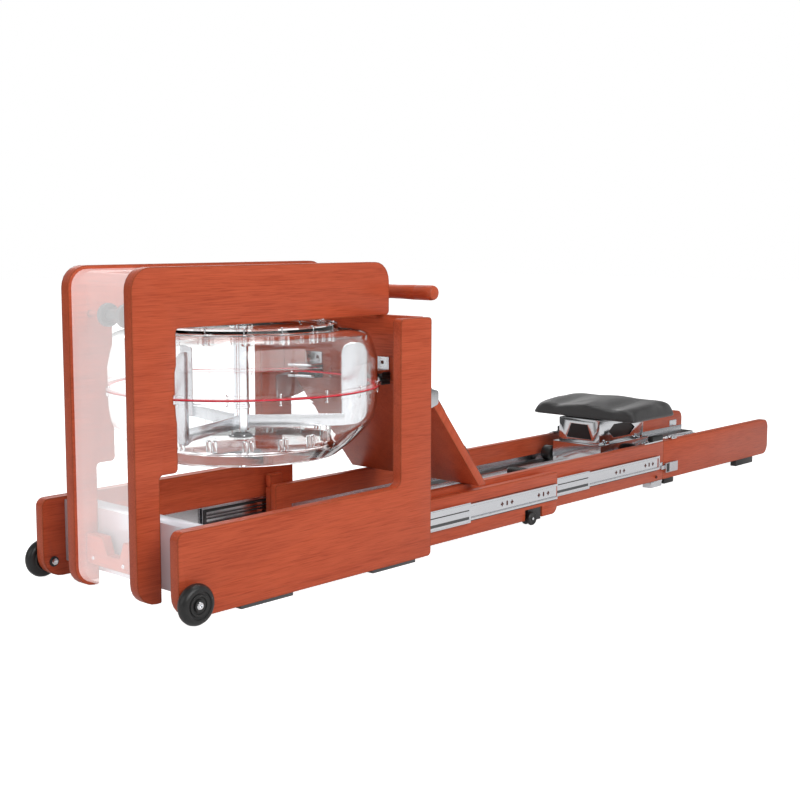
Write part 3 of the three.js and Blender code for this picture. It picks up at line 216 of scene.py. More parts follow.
def noise(tree, vector, scale, detail=4.0, distortion=0.0):
    """Noise at a vector; returns its factor."""
    node = add_node(tree, "ShaderNodeTexNoise", Scale=scale, Detail=detail, Distortion=distortion)
    tree.links.new(vector, node.inputs["Vector"])
    return node.outputs["Fac"]


def stretch(tree, vector, scale, turn=(0, 0, 0)):
    """The vector turned by Euler degrees and scaled axis by axis, to draw a pattern out."""
    node = tree.nodes.new("ShaderNodeMapping")
    node.inputs["Scale"].default_value = scale
    node.inputs["Rotation"].default_value = [math.radians(angle) for angle in turn]
    tree.links.new(vector, node.inputs["Vector"])
    return node.outputs["Vector"]


# %% Wood grain group
grain, grain_in, grain_out = new_group(
    "wood_grain",
    [("Vector", "NodeSocketVector", None), ("Light", "NodeSocketColor", (0.6, 0.14, 0.07, 1)),
     ("Dark", "NodeSocketColor", (0.4, 0.08, 0.04, 1))],
    [("Color", "NodeSocketColor"), ("Height", "NodeSocketFloat")],
)
along = grain_in["Vector"]
figure = noise(grain, stretch(grain, along, (1.6, 14, 14)), 1.6, 3.0, 0.9)
streaks = noise(grain, stretch(grain, along, (12, 250, 250)), 1.5, 4.0, 0.3)
fibres = noise(grain, stretch(grain, along, (14, 520, 520)), 1.6, 2.0)
tone = calc(
    grain, "ADD", calc(grain, "MULTIPLY", figure, 0.4), calc(grain, "MULTIPLY", streaks, 0.6)
)
wood_colour = mix(
    grain, "MIX", ramp(grain, tone, [(0.35, 0.1), (0.5, 0.65), (0.65, 1.0)]), grain_in["Dark"],
    grain_in["Light"]
)
pores = ramp(grain, fibres, [(0.32, 1.0), (0.44, 0.0)])
pored = mix(
    grain, "MULTIPLY", calc(grain, "MULTIPLY", pores, 0.5), wood_colour, (0.62, 0.5, 0.46, 1)
)
grain.links.new(pored, grain_out["Color"])
grain.links.new(
    calc(grain, "SUBTRACT", streaks, calc(grain, "MULTIPLY", pores, 0.5)), grain_out["Height"]
)

# %% Edge wear, painted edge reflection and smudge groups
rubbed_and_reflecting_edges, rubbed_and_reflecting_in, rubbed_and_reflecting_out = new_group(
    "worn_and_reflecting_edges",
    [("Vector", "NodeSocketVector", None), ("Amount", "NodeSocketFloat", 0.5),
     ("Width", "NodeSocketFloat", 0.0015), ("Even", "NodeSocketFloat", 0.0)],
    [("Mask", "NodeSocketFloat")],
)
rounded_normal = rubbed_and_reflecting_edges.nodes.new("ShaderNodeBevel")
rounded_normal.samples = 4
rubbed_and_reflecting_edges.links.new(rubbed_and_reflecting_in["Width"], rounded_normal.inputs["Radius"])
agree = rubbed_and_reflecting_edges.nodes.new("ShaderNodeVectorMath")
agree.operation = "DOT_PRODUCT"
rubbed_and_reflecting_edges.links.new(rounded_normal.outputs["Normal"], agree.inputs[0])
rubbed_and_reflecting_edges.links.new(rubbed_and_reflecting_edges.nodes.new("ShaderNodeNewGeometry").outputs["Normal"], agree.inputs[1])
lean = calc(rubbed_and_reflecting_edges, "SUBTRACT", 1.0, agree.outputs["Value"])
edges = ramp(rubbed_and_reflecting_edges, lean, [(0.015, 0.0), (0.12, 1.0)])
patches = ramp(rubbed_and_reflecting_edges, noise(rubbed_and_reflecting_edges, rubbed_and_reflecting_in["Vector"], 60), [(0.42, 0.0), (0.6, 1.0)])
# Even at 1 spreads the mask along every edge, not in patches: there it is painted reflection, not
# wear.
chips_and_all_edges = calc(rubbed_and_reflecting_edges, "MAXIMUM", patches, rubbed_and_reflecting_in["Even"])
edge_rubbing_and_reflection = calc(rubbed_and_reflecting_edges, "MULTIPLY", edges, chips_and_all_edges)
rubbed_and_reflecting_edges.links.new(calc(rubbed_and_reflecting_edges, "MULTIPLY", edge_rubbing_and_reflection, rubbed_and_reflecting_in["Amount"]), rubbed_and_reflecting_out["Mask"])

smudges, smudges_in, smudges_out = new_group(
    "smudges",
    [("Vector", "NodeSocketVector", None), ("Base", "NodeSocketFloat", 0.3),
     ("Spread", "NodeSocketFloat", 0.1)],
    [("Roughness", "NodeSocketFloat")],
)
cloudy = calc(smudges, "SUBTRACT", noise(smudges, smudges_in["Vector"], 9, 5.0, 0.6), 0.5)
uneven = calc(
    smudges, "ADD", smudges_in["Base"], calc(smudges, "MULTIPLY", cloudy, smudges_in["Spread"])
)
smudges.links.new(uneven, smudges_out["Roughness"])
print("node groups:", sorted(group.name for group in bpy.data.node_groups))

# %% [markdown]
# Each finish is a Principled surface on object coordinates, which are metres here. What
# changes over the surface comes from the groups. What is the same all over, such as the coat
# or the index of refraction, is set on the shader itself.

# %% Helpers for finishes


def new_finish(name, base, spread, **settings):
    """A material with uneven gloss; returns it, its tree, its shader and its coordinates."""
    material = bpy.data.materials.new(name)
    material.use_nodes = True
    tree = material.node_tree
    shader = tree.nodes["Principled BSDF"]
    for label, value in settings.items():
        shader.inputs[label.replace("_", " ")].default_value = value
    place = tree.nodes.new("ShaderNodeTexCoord").outputs["Object"]
    gloss = use(tree, smudges, place, Base=base, Spread=spread)
    tree.links.new(gloss["Roughness"], shader.inputs["Roughness"])
    return material, tree, shader, place


def use(tree, group, vector, **values):
    """One use of a group in a material, with its own values; returns its outputs."""
    node = tree.nodes.new("ShaderNodeGroup")
    node.node_tree = group
    tree.links.new(vector, node.inputs["Vector"])
    for label, value in values.items():
        node.inputs[label].default_value = value
    return node.outputs


def bump(tree, shader, height, strength, depth):
    """Raises the surface by a height, through a Bump node."""
    node = add_node(tree, "ShaderNodeBump", Strength=strength, Distance=depth)
    tree.links.new(height, node.inputs["Height"])
    tree.links.new(node.outputs["Normal"], shader.inputs["Normal"])


def wood_finish(name, turn=(0, 0, 0), light=(0.62, 0.112, 0.046, 1), dark=(0.45, 0.068, 0.026, 1)):
    """Red-brown wood under clear lacquer: grain along the turned X axis, painted dark edge
    reflection.
    """
    material, tree, shader, place = new_finish(
        name, 0.38, 0.12, Specular_IOR_Level=0.2, Coat_Weight=0.12, Coat_Roughness=0.12)
    pattern = use(tree, grain, stretch(tree, place, (1, 1, 1), turn), Light=light, Dark=dark)
    # Painted reflection: every rounded edge of the wood turns deep brown, the dark line its lacquer
    # shows.
    painted_edge_reflection = use(tree, rubbed_and_reflecting_edges, place, Amount=0.75, Width=0.005, Even=1.0)
    colour = mix(tree, "MIX", painted_edge_reflection["Mask"], pattern["Color"], (0.22, 0.05, 0.012, 1))
    tree.links.new(colour, shader.inputs["Base Color"])
    bump(tree, shader, pattern["Height"], 0.1, 0.0004)
    return material


def metal_finish(name, colour, base, spread, brush, strength):
    """Plated steel: metallic, streaked along the brushing direction."""
    material, tree, shader, place = new_finish(name, base, spread, Metallic=1.0)
    streak = noise(tree, stretch(tree, place, brush), 3.0)
    tree.links.new(
        mix(tree, "MULTIPLY", streak, colour, (0.84, 0.85, 0.88, 1)), shader.inputs["Base Color"]
    )
    bump(tree, shader, streak, strength, 0.0002)
    return material


def moulded_finish(name, colour, worn_colour, base, pebble, strength, **settings):
    """Moulded plastic or rubber: pebbled, unevenly glossy and paler on worn edges."""
    material, tree, shader, place = new_finish(name, base, 0.16, **settings)
    worn = use(tree, rubbed_and_reflecting_edges, place, Amount=0.5)
    tree.links.new(mix(tree, "MIX", worn["Mask"], colour, worn_colour), shader.inputs["Base Color"])
    bump(tree, shader, noise(tree, place, pebble, 3.0), strength, 0.0003)
    return material


# %% Finishes
wood = wood_finish("lacquered_wood")
wood_across = wood_finish("lacquered_wood_across", turn=(0, 0, 90))
wood_slope = wood_finish("lacquered_wood_slope", turn=(0, 51, 0))
chrome = metal_finish("polished_steel", (0.86, 0.87, 0.88, 1), 0.12, 0.08, (4, 60, 60), 0.04)
zinc = metal_finish("zinc_plated_steel", (0.80, 0.81, 0.83, 1), 0.22, 0.10, (3, 180, 180), 0.12)
enamel = moulded_finish(
    "silver_enamel", (0.70, 0.70, 0.76, 1), (0.78, 0.78, 0.82, 1), 0.22, 900, 0.03, Metallic=0.3)
brushed = metal_finish("brushed_steel", (0.70, 0.70, 0.71, 1), 0.2, 0.1, (60, 60, 4), 0.1)
black_plastic = moulded_finish(
    "black_plastic", (0.016, 0.016, 0.017, 1), (0.05, 0.05, 0.05, 1), 0.36, 900, 0.1
)
rubber = moulded_finish(
    "black_rubber", (0.014, 0.014, 0.014, 1), (0.04, 0.04, 0.04, 1), 0.36, 1400, 0.12
)
grey_plastic = moulded_finish(
    "dark_grey_plastic", (0.075, 0.078, 0.082, 1), (0.14, 0.14, 0.14, 1), 0.42, 800, 0.12
)
red_rubber = moulded_finish(
    "red_gasket_rubber", (0.72, 0.006, 0.030, 1), (0.8, 0.1, 0.1, 1), 0.25, 500, 0.05,
    Coat_Weight=0.4
)
hole_dark = moulded_finish(
    "shaded_hole", (0.09, 0.016, 0.008, 1), (0.12, 0.03, 0.02, 1), 0.6, 600, 0.1
)


def clear_finish(name, tint, base, haze):
    """Clear plastic: shadow rays mostly pass, so that what is inside stays bright."""
    material, tree, shader, place = new_finish(name, base, 0.02, Transmission_Weight=1.0, IOR=1.40)
    tree.links.new(
        mix(tree, "MIX", noise(tree, place, 4, 2.0), tint, (1, 1, 1, 1)),
        shader.inputs["Base Color"]
    )
    shadow = tree.nodes.new("ShaderNodeLightPath").outputs["Is Shadow Ray"]
    tree.links.new(
        calc(tree, "SUBTRACT", 1.0, calc(tree, "MULTIPLY", shadow, haze)), shader.inputs["Alpha"]
    )
    return material


clear_tank = clear_finish("clear_tank_plastic", (0.97, 0.985, 0.99, 1), 0.02, 0.88)
# Painted light: the shield glows white (Emission 1.25) on both faces, for the bright veil of lit
# clear plastic.
shield_painted_glow, milky_tree, milky_shader, milky_place = new_finish(
    "clear_shield_plastic_painted_glow", 0.14, 0.05, Coat_Weight=0.8, Emission_Color=(1, 1, 1, 1),
    Emission_Strength=1.25
)
veil = noise(milky_tree, stretch(milky_tree, milky_place, (3, 3, 1)), 2.0, 2.0)
milky_tree.links.new(
    mix(milky_tree, "MIX", veil, (0.90, 0.91, 0.93, 1), (1, 1, 1, 1)),
    milky_shader.inputs["Base Color"]
)
milky_tree.links.new(
    calc(milky_tree, "ADD", calc(milky_tree, "MULTIPLY", veil, 0.05), 0.13),
    milky_shader.inputs["Alpha"]
)
print("finishes:", len(bpy.data.materials))

# %% [markdown]
# The floor is one sheet of pale paper. A white floor lit only by the lamps turns grey far from
# them, so this one glows where it is looked at, and less where the lacquer mirrors it.

# %% Floor
FLOOR_HALF = 14.0
FLOOR_GLOW = 0.95
FLOOR_GLOW_MIRRORED = 0.32
FLOOR_GLOW_AROUND = 0.08
floor_mesh = bpy.data.meshes.new("studio_floor")
corner = np.array([(-1, -1, 0), (1, -1, 0), (1, 1, 0), (-1, 1, 0)]) * FLOOR_HALF
floor_mesh.from_pydata(corner.tolist(), [], [(0, 1, 2, 3)])
floor = bpy.data.objects.new("studio_floor", floor_mesh)
scene.collection.objects.link(floor)
paper, paper_tree, paper_shader, paper_place = new_finish(
    "studio_paper", 0.6, 0.05, Emission_Color=(1, 1, 1, 1)
)
seen = paper_tree.nodes.new("ShaderNodeLightPath").outputs
seen_plain = calc(paper_tree, "MAXIMUM", seen["Is Camera Ray"], seen["Is Transmission Ray"])
glow_plain = calc(paper_tree, "MULTIPLY", seen_plain, FLOOR_GLOW)
glow_mirrored = calc(paper_tree, "MULTIPLY", seen["Is Glossy Ray"], FLOOR_GLOW_MIRRORED)
glow = calc(
    paper_tree, "MAXIMUM", calc(paper_tree, "MAXIMUM", glow_plain, glow_mirrored), FLOOR_GLOW_AROUND
)
paper_tree.links.new(glow, paper_shader.inputs["Emission Strength"])
fleck = mix(
    paper_tree, "MIX", noise(paper_tree, paper_place, 30, 3.0), (0.50, 0.50, 0.50, 1),
    (0.54, 0.54, 0.54, 1)
)
paper_tree.links.new(fleck, paper_shader.inputs["Base Color"])
floor_mesh.materials.append(paper)
print("floor:", 2 * FLOOR_HALF, "m of pale paper")

# %% [markdown]
# The frame's solids are loose triangles with knife edges. Live modifiers finish them without
# touching the mesh: a Weld joins the triangles, a Bevel rounds the sharp edges so that they
# catch the light, and a small node modifier shades everything smooth but the real corners.

# %% Edge finishing
MM = 0.001
CORNER_ANGLE = math.radians(32)

shading = bpy.data.node_groups.new("smooth_but_corners", "GeometryNodeTree")
shading.interface.new_socket("Geometry", in_out="INPUT", socket_type="NodeSocketGeometry")
shading.interface.new_socket("Geometry", in_out="OUTPUT", socket_type="NodeSocketGeometry")
shading_in = shading.nodes.new("NodeGroupInput")
shading_out = shading.nodes.new("NodeGroupOutput")
smooth_faces = shading.nodes.new("GeometryNodeSetShadeSmooth")
sharp_edges = shading.nodes.new("GeometryNodeSetShadeSmooth")
sharp_edges.domain = "EDGE"
sharp_edges.inputs["Shade Smooth"].default_value = False
fold = shading.nodes.new("GeometryNodeInputMeshEdgeAngle")
is_corner = shading.nodes.new("FunctionNodeCompare")
is_corner.inputs["B"].default_value = CORNER_ANGLE
shading.links.new(shading_in.outputs[0], smooth_faces.inputs["Geometry"])
shading.links.new(smooth_faces.outputs["Geometry"], sharp_edges.inputs["Geometry"])
shading.links.new(fold.outputs["Unsigned Angle"], is_corner.inputs["A"])
shading.links.new(is_corner.outputs["Result"], sharp_edges.inputs["Selection"])
shading.links.new(sharp_edges.outputs["Geometry"], shading_out.inputs[0])


def finish_edges(piece, width, segments=2):
    """Bevels the sharp edges by a width in millimetres and shades the rest smooth."""
    if width > 0:
        bevel = piece.modifiers.new("soft_edge", "BEVEL")
        bevel.width = width * MM
        bevel.segments = segments
        bevel.limit_method = "ANGLE"
        bevel.angle_limit = CORNER_ANGLE
    piece.modifiers.new("smooth", "NODES").node_group = shading


def dress(name, material, edge=1.0, segments=2):
    """Gives a frame solid a finish, welded corners and an edge of a width in millimetres."""
    solid = nodes[name]
    solid.data.materials.clear()
    solid.data.materials.append(material)
    solid.modifiers.new("weld", "WELD").merge_threshold = 0.01 * MM
    finish_edges(solid, edge, segments)


# %% Dress the frame's solids
PAIRED = {
    "base_panel": (wood, 3.0, 3), "tower_panel": (wood, 3.0, 3), "board_one": (wood, 1.6, 2),
    "board_two": (wood, 1.6, 2), "tail_board": (wood, 1.6, 2), "tank_clamp": (brushed, 0.8, 2),
    "floor_pads": (grey_plastic, 1.2, 2), "footboard_bracket": (brushed, 0.6, 2),
    "hinge_base": (chrome, 0.5, 2), "hinge_leaf": (chrome, 0.5, 2),
}
for side in SIDES:
    for name, look in PAIRED.items():
        dress(f"{name}_{side}", *look)
    for stage in ("one", "two"):
        for member in ("outer", "middle", "inner"):
            dress(f"slide_{stage}_{member}_{side}", zinc, 0.25, 1)
SINGLE = {
    "front_board": (wood_across, 1.5), "cross_board": (wood_across, 1.5),
    "cross_box": (enamel, 1.0), "front_shield": (shield_painted_glow, 0.5), "handle_cradle": (black_plastic, 0.8),
    "board_one_tie": (black_plastic, 0.5), "seat_track": (zinc, 0.5), "tail_track": (zinc, 0.5),
    "tail_foot": (black_plastic, 1.5), "seat_bracket": (chrome, 0.8), "seat_truck": (chrome, 0.8),
    "footboard": (wood_slope, 1.6), "foot_rests": (black_plastic, 1.4)
}
for name, (material, edge) in SINGLE.items():
    dress(name, material, edge)
print("dressed", 2 * len(PAIRED) + 12 + len(SINGLE), "solids")

# %% [markdown]
# New pieces are worked out as arrays of points. Lengths are in millimetres, with X measured
# from the zero of the base, and become metres of the frame's own place at the end. A shell is
# a pair: an array of corners, and a list of faces. A piece may hold several shells.

# %% Helpers for shells
ZERO_X = -794.7


def grid_faces(rows, columns, loop_rows=False, loop_columns=False):
    """Quads between neighbours of a rows x columns grid; a loop also joins last to first."""
    i = np.arange(rows if loop_rows else rows - 1)[:, None]
    j = np.arange(columns if loop_columns else columns - 1)[None, :]
    below, beside = (i + 1) % rows, (j + 1) % columns
    corners = np.stack(
        [i * columns + j, i * columns + beside, below * columns + beside, below * columns + j],
        axis=-1
    )
    return corners.reshape(-1, 4).tolist()


def revolve(profile, centre=(0, 0, 0), axis="z", segments=72):
    """A profile of (radius, height) turned about an axis through the centre.

    point = centre + radius * (cos t, sin t) across the axis + height along it.
    """
    profile = np.asarray(profile, float)
    turn = np.linspace(0, 2 * math.pi, segments, endpoint=False)
    across = profile[:, :1] * np.cos(turn)
    over = profile[:, :1] * np.sin(turn)
    height = np.repeat(profile[:, 1:], segments, axis=1)
    order = {
        "z": (across, over, height), "y": (over, height, across), "x": (height, across, over)
    }[axis]
    points = np.stack(order, axis=-1).reshape(-1, 3) + np.asarray(centre, float)
    ring = np.allclose(profile[0], profile[-1])
    rows = len(profile) - 1 if ring else len(profile)
    return points[: rows * segments], grid_faces(rows, segments, loop_rows=ring, loop_columns=True)


def rounded(points, radius, steps=5):
    """An outline with each corner replaced by a curve.

    point = p + (q - p)(1 - t)^2 + (r - p) t^2, from q before the corner p to r after it.
    """
    p = np.asarray(points, float)
    radii = np.broadcast_to(np.asarray(radius, float), len(p))[:, None]
    before, after = np.roll(p, 1, axis=0) - p, np.roll(p, -1, axis=0) - p
    reach = [
        np.minimum(radii, 0.49 * np.linalg.norm(d, axis=1, keepdims=True))
        for d in (before, after)
    ]
    q = before / np.linalg.norm(before, axis=1, keepdims=True) * reach[0]
    r = after / np.linalg.norm(after, axis=1, keepdims=True) * reach[1]
    t = np.linspace(0, 1, steps + 1)[None, :, None]
    return (p[:, None] + q[:, None] * (1 - t) ** 2 + r[:, None] * t**2).reshape(-1, 2)


def prism(outline, axis, low, high):
    """An outline carried straight along an axis from low to high, and closed at both ends."""
    flat = np.asarray(outline, float)
    count = len(flat)
    sides = {"x": (1, 2), "y": (0, 2), "z": (0, 1)}[axis]
    points = np.zeros((2, count, 3))
    points[:, :, sides[0]], points[:, :, sides[1]] = flat[:, 0], flat[:, 1]
    points[0, :, "xyz".index(axis)] = low
    points[1, :, "xyz".index(axis)] = high
    ends = [list(range(count))[::-1], list(range(count, 2 * count))]
    return points.reshape(-1, 3), grid_faces(2, count, loop_columns=True) + ends


def box(low, high, radius=1.0, axis="z"):
    """A slab between two corners whose outline across the axis has rounded corners."""
    a, b = [i for i in range(3) if i != "xyz".index(axis)]
    k = "xyz".index(axis)
    corners = [(low[a], low[b]), (high[a], low[b]), (high[a], high[b]), (low[a], high[b])]
    return prism(rounded(corners, radius), axis, low[k], high[k])


def copies(shell, places):
    """The same shell set at each of several (x, y, z) places."""
    points, faces = shell
    places = np.asarray(places, float)
    moved = (places[:, None] + points[None]).reshape(-1, 3)
    return moved, [
        [index + k * len(points) for index in face]
        for k in range(len(places))
        for face in faces
    ]


def ring_places(count, radius, z, centre_x, start=0.0):
    """Places evenly round an upright axis: centre + radius * (cos a, sin a)."""
    turn = np.radians(start) + np.linspace(0, 2 * math.pi, count, endpoint=False)
    return np.stack(
        [centre_x + radius * np.cos(turn), radius * np.sin(turn), np.full(count, z)], axis=-1
    )


def make(name, shells, material, body, stands_for=(), edge=0.0, segments=2):
    """A piece from shells in millimetres, closed and turned outwards, riding on a body."""
    points = np.concatenate([shell[0] for shell in shells]) + [ZERO_X, 0, 0]
    starts = np.cumsum([0] + [len(shell[0]) for shell in shells])
    faces = [
        [index + start for index in face]
        for shell, start in zip(shells, starts.tolist())
        for face in shell[1]
    ]
    mesh = bpy.data.meshes.new(name)
    mesh.from_pydata((points * MM).tolist(), [], faces)
    work = bmesh.new()
    work.from_mesh(mesh)
    bmesh.ops.remove_doubles(work, verts=work.verts, dist=0.001 * MM)
    bmesh.ops.recalc_face_normals(work, faces=work.faces)
    work.to_mesh(mesh)
    work.free()
    mesh.materials.append(material)
    piece = bpy.data.objects.new(name, mesh)
    scene.collection.objects.link(piece)
    finish_edges(piece, edge, segments)
    if body is not None:
        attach(piece, body)
    if stands_for:
        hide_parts(*stands_for)
    return piece


def turned(name, profile, centre, axis, segments, material, body, stands_for=(), edge=0.0):
    """A piece made of one revolved profile."""
    shells = [revolve(profile, centre, axis, segments)]
    return make(name, shells, material, body, stands_for, edge)


def bolt_head(radius, height, socket=0.5):
    """A screw head with a rounded rim and a sunk socket, as a profile to revolve."""
    rim = [(radius, 0), (radius, height * 0.6), (radius * 0.86, height), (radius * socket, height)]
    return [(0, 0)] + rim + [(radius * socket * 0.86, height * 0.45), (0, height * 0.45)]


print("helpers ready; the base's zero of X lies at", ZERO_X, "mm in the frame")

# %% [markdown]
# The tank is two clear shells that meet at a flange over a red gasket. Each is a wall profile
# turned about the tank's axis, with its inner wall 4 mm in. Small steps, a foot ring below and
# a lid ring on top catch the light as moulded plastic does.

# %% Tank shells
TANK_X = 49.1
WALL = 4.0


def smooth_path(points, steps=6):
    """A Catmull-Rom curve through the points, with a few steps between neighbours."""
    p = np.asarray(points, float)
    p = np.concatenate([[2 * p[0] - p[1]], p, [2 * p[-1] - p[-2]]])
    t = np.linspace(0, 1, steps, endpoint=False)[None, :, None]
    a, b, c, d = (p[k : len(p) - 3 + k, None] for k in range(4))
    curve = 0.5 * (
        2 * b + (c - a) * t + (2 * a - 5 * b + 4 * c - d) * t**2 + (3 * b - a - 3 * c + d) * t**3
    )
    return np.concatenate([curve.reshape(-1, 2), p[-2:-1]])


def inset(path, distance):
    """The path moved sideways by a distance, along the normals of its own slope."""
    ahead = np.gradient(path, axis=0)
    ahead /= np.linalg.norm(ahead, axis=1, keepdims=True)
    return path + distance * np.stack([-ahead[:, 1], ahead[:, 0]], axis=-1)


bowl_wall = smooth_path(
    [
        (183.2, 228.0), (196.0, 238.0), (211.5, 251.0), (228.3, 268.1), (241.5, 283.0),
        (248.9, 298.1), (253.0, 320.0), (254.5, 343.8)
    ]
)
bowl_foot = [
    (0, 245.0), (161.9, 245.0), (168.5, 243.0), (171.8, 230.0), (174.0, 226.0), (176.1, 225.0),
    (180.0, 226.0)
]
bowl_inside = [(166.0, 249.0), (0, 249.0)]
inside_wall = inset(bowl_wall, WALL)[::-1]
bowl = np.concatenate(
    [
        bowl_foot, bowl_wall, [(258.0, 343.8), (258.0, 349.8), (250.5, 349.8)], inside_wall,
        bowl_inside
    ]
)
turned(
    "tank_bowl_shell", bowl, (TANK_X, 0, 0), "z", 144, clear_tank, "frame",
    ("tank_bowl",)
)

top_wall = smooth_path(
    [
        (254.5, 359.4), (254.5, 396.0), (252.6, 405.0), (247.4, 424.8), (239.5, 442.0),
        (228.0, 450.1), (205.1, 455.0), (183.2, 456.2)
    ]
)
lid = [
    (181.0, 457.0), (179.4, 465.0), (177.0, 466.0), (167.0, 466.0), (164.6, 465.0), (163.0, 460.1),
    (22.0, 460.1), (22.0, 464.1), (15.0, 464.1), (15.0, 456.1), (160.0, 456.1)
]
lid_inside = inset(top_wall, WALL)[::-1]
top = np.concatenate(
    [[(250.5, 353.4), (258.0, 353.4), (258.0, 359.4)], top_wall, lid, lid_inside, [(250.5, 353.4)]]
)
turned(
    "tank_top_shell", top, (TANK_X, 0, 0), "z", 144, clear_tank, "frame",
    ("tank_top",)
)

seal = [
    (243.2, 350.1), (256.6, 350.1), (257.9, 350.9), (257.9, 352.3), (256.6, 353.1), (243.2, 353.1),
    (243.2, 350.1)
]
turned(
    "tank_gasket_ring", seal, (TANK_X, 0, 0), "z", 144, red_rubber, "frame",
    ("tank_gasket",)
)
print("tank: bowl profile", len(bowl), "points, top profile", len(top), "points")

# %% [markdown]
# Bolts clamp the two shells and the lid. Clear bosses stand in pairs under the lid ring and over
# the foot ring, a small steel screw sits in one boss of each pair under the lid, and clear screws
# run through the flange. One boss is made and set round the ring.

# %% Tank bosses and screws
boss = [(0, 0), (3.6, 0), (4.6, 1.5), (4.6, 17.5), (3.8, 18.5), (0, 18.5)]
screw = [(0, 0), (1.7, 0), (1.7, 21), (3.4, 21), (3.4, 22.6), (2.6, 23.4), (0, 23.4)]
lid_ring = ring_places(16, 172.0, 0, TANK_X, 6)
pair_ring = ring_places(16, 172.0, 0, TANK_X, 9.4)
lid_bosses = [
    copies(revolve(boss, (0, 0, 437.4), segments=16), places)
    for places in (lid_ring, pair_ring)
]
foot_bosses = [
    copies(revolve(boss, (0, 0, 249.1), segments=16), places)
    for places in (ring_places(16, 163.5, 0, TANK_X, 6), ring_places(16, 163.5, 0, TANK_X, 9.8))
]
make("tank_lid_bosses", lid_bosses, clear_tank, "frame")
make("tank_foot_bosses", foot_bosses, clear_tank, "frame")
lid_screws = [copies(revolve(screw, (0, 0, 444.0), segments=12), lid_ring)]
make("tank_lid_screws", lid_screws, chrome, "frame")
flange_screw = [
    (0, 0), (2.6, 0), (2.6, 2.4), (1.4, 2.6), (1.4, 18.6), (2.6, 18.8), (2.6, 21.2), (0, 21.2)
]
flange_screws = [
    copies(revolve(flange_screw, (0, 0, 341.0), segments=12), ring_places(18, 255.2, 0, TANK_X, 4))
]
make("tank_flange_screws", flange_screws, clear_tank, "frame")
collar = [(15.2, 464.2), (21.0, 464.2), (21.0, 470.0), (19.0, 474.0), (15.2, 474.0), (15.2, 464.2)]
turned(
    "shaft_seal_collar", collar, (TANK_X, 0, 0), "z", 64, black_plastic, "frame"
)
drain = [(0, 0), (13, 0), (13, -6), (9, -9), (9, -14), (0, -14)]
turned(
    "tank_drain_plug", drain, (TANK_X + 120, -62, 244.9), "z", 32, black_plastic, "frame",
    edge=0.5
)
print("bosses:", 4 * len(lid_ring), "screws:", len(lid_ring) + 18)

# %% [markdown]
# The paddle turns in the tank: a polished shaft with three flat arms near its foot, each with
# an upright blade at its end. A blade is a curved sheet: across its width it bows sideways as
# bow * (1 - s^2), and its upper corners are round. The sheet gets its thickness by Solidify.

# %% Paddle
SHAFT_RADIUS = 14.0
BLADE_REACH = 236.0
BLADE_WIDTH = 48.0
BLADE_LOW = 268.0
BLADE_TOP = 428.0
BLADE_CORNER = 20.0
BLADE_FOOT_CORNER = 28.0
BLADE_BOW = 8.0
BLADE_START = -160.0


def blade_sheet(angle, rows=24, columns=25):
    """One blade, upright at an angle: s runs across it from -1 to 1 and t up it from 0 to 1."""
    s = np.linspace(-1, 1, columns)[None, :]
    t = np.linspace(0, 1, rows)[:, None]
    half = BLADE_WIDTH / 2
    past = np.maximum(0, np.abs(s) * half - (half - BLADE_CORNER))
    crown = BLADE_TOP - (BLADE_CORNER - np.sqrt(BLADE_CORNER**2 - past**2))
    past_foot = np.maximum(0, s * half - (half - BLADE_FOOT_CORNER))
    foot = BLADE_LOW + (BLADE_FOOT_CORNER - np.sqrt(BLADE_FOOT_CORNER**2 - past_foot**2))
    reach = BLADE_REACH - half + half * s + 0 * t
    side = BLADE_BOW * (1 - s**2) + 0 * t
    height = foot + (crown - foot) * t
    a = math.radians(angle)
    across = TANK_X + reach * math.cos(a) - side * math.sin(a)
    over = reach * math.sin(a) + side * math.cos(a)
    return np.stack([across, over, height], axis=-1).reshape(-1, 3), grid_faces(rows, columns)


def arm_bar(angle):
    """A flat bar from the shaft to the blade, thinning towards its outer end."""
    a = math.radians(angle)
    inner, outer = SHAFT_RADIUS - 3, BLADE_REACH - BLADE_WIDTH + 5
    flat = prism(
        [(inner, -2.6), (outer, -1.6), (outer, 1.6), (inner, 2.6)], "z", BLADE_LOW, BLADE_LOW + 25
    )
    x, y = flat[0][:, 0].copy(), flat[0][:, 1].copy()
    flat[0][:, 0] = TANK_X + x * math.cos(a) - y * math.sin(a)
    flat[0][:, 1] = x * math.sin(a) + y * math.cos(a)
    return flat


shaft = [
    (0, 259.0), (9, 259.0), (9, 263.0), (14, 264.0), (14, 306.0), (15.6, 307.0), (15.6, 312.0),
    (14, 313.0), (14, 497.4), (14, 530.0), (13, 531.0), (7, 531.0), (6.2, 527.0), (0, 527.0)
]
blade_angles = [BLADE_START + 120 * k for k in range(3)]
turned("paddle_shaft", shaft, (TANK_X, 0, 0), "z", 64, chrome, "paddle_body", ("paddle",))
make(
    "paddle_arms", [arm_bar(angle) for angle in blade_angles], brushed, "paddle_body",
    ("paddle",), edge=0.6
)
blades = make(
    "paddle_blades", [blade_sheet(angle) for angle in blade_angles], brushed, "paddle_body",
    ("paddle",)
)
blades.modifiers.remove(blades.modifiers["smooth"])
sheet_wall = blades.modifiers.new("sheet_wall", "SOLIDIFY")
sheet_wall.thickness = 2.5 * MM
sheet_wall.offset = 0
finish_edges(blades, 0.5, 2)
print("paddle: blades at", blade_angles, "degrees")

# %% [markdown]
# The drum on top of the shaft winds the pull strap. Its flanges, and the twin discs of the
# return pulley at the front, are turned profiles with lightening grooves, in black plastic.

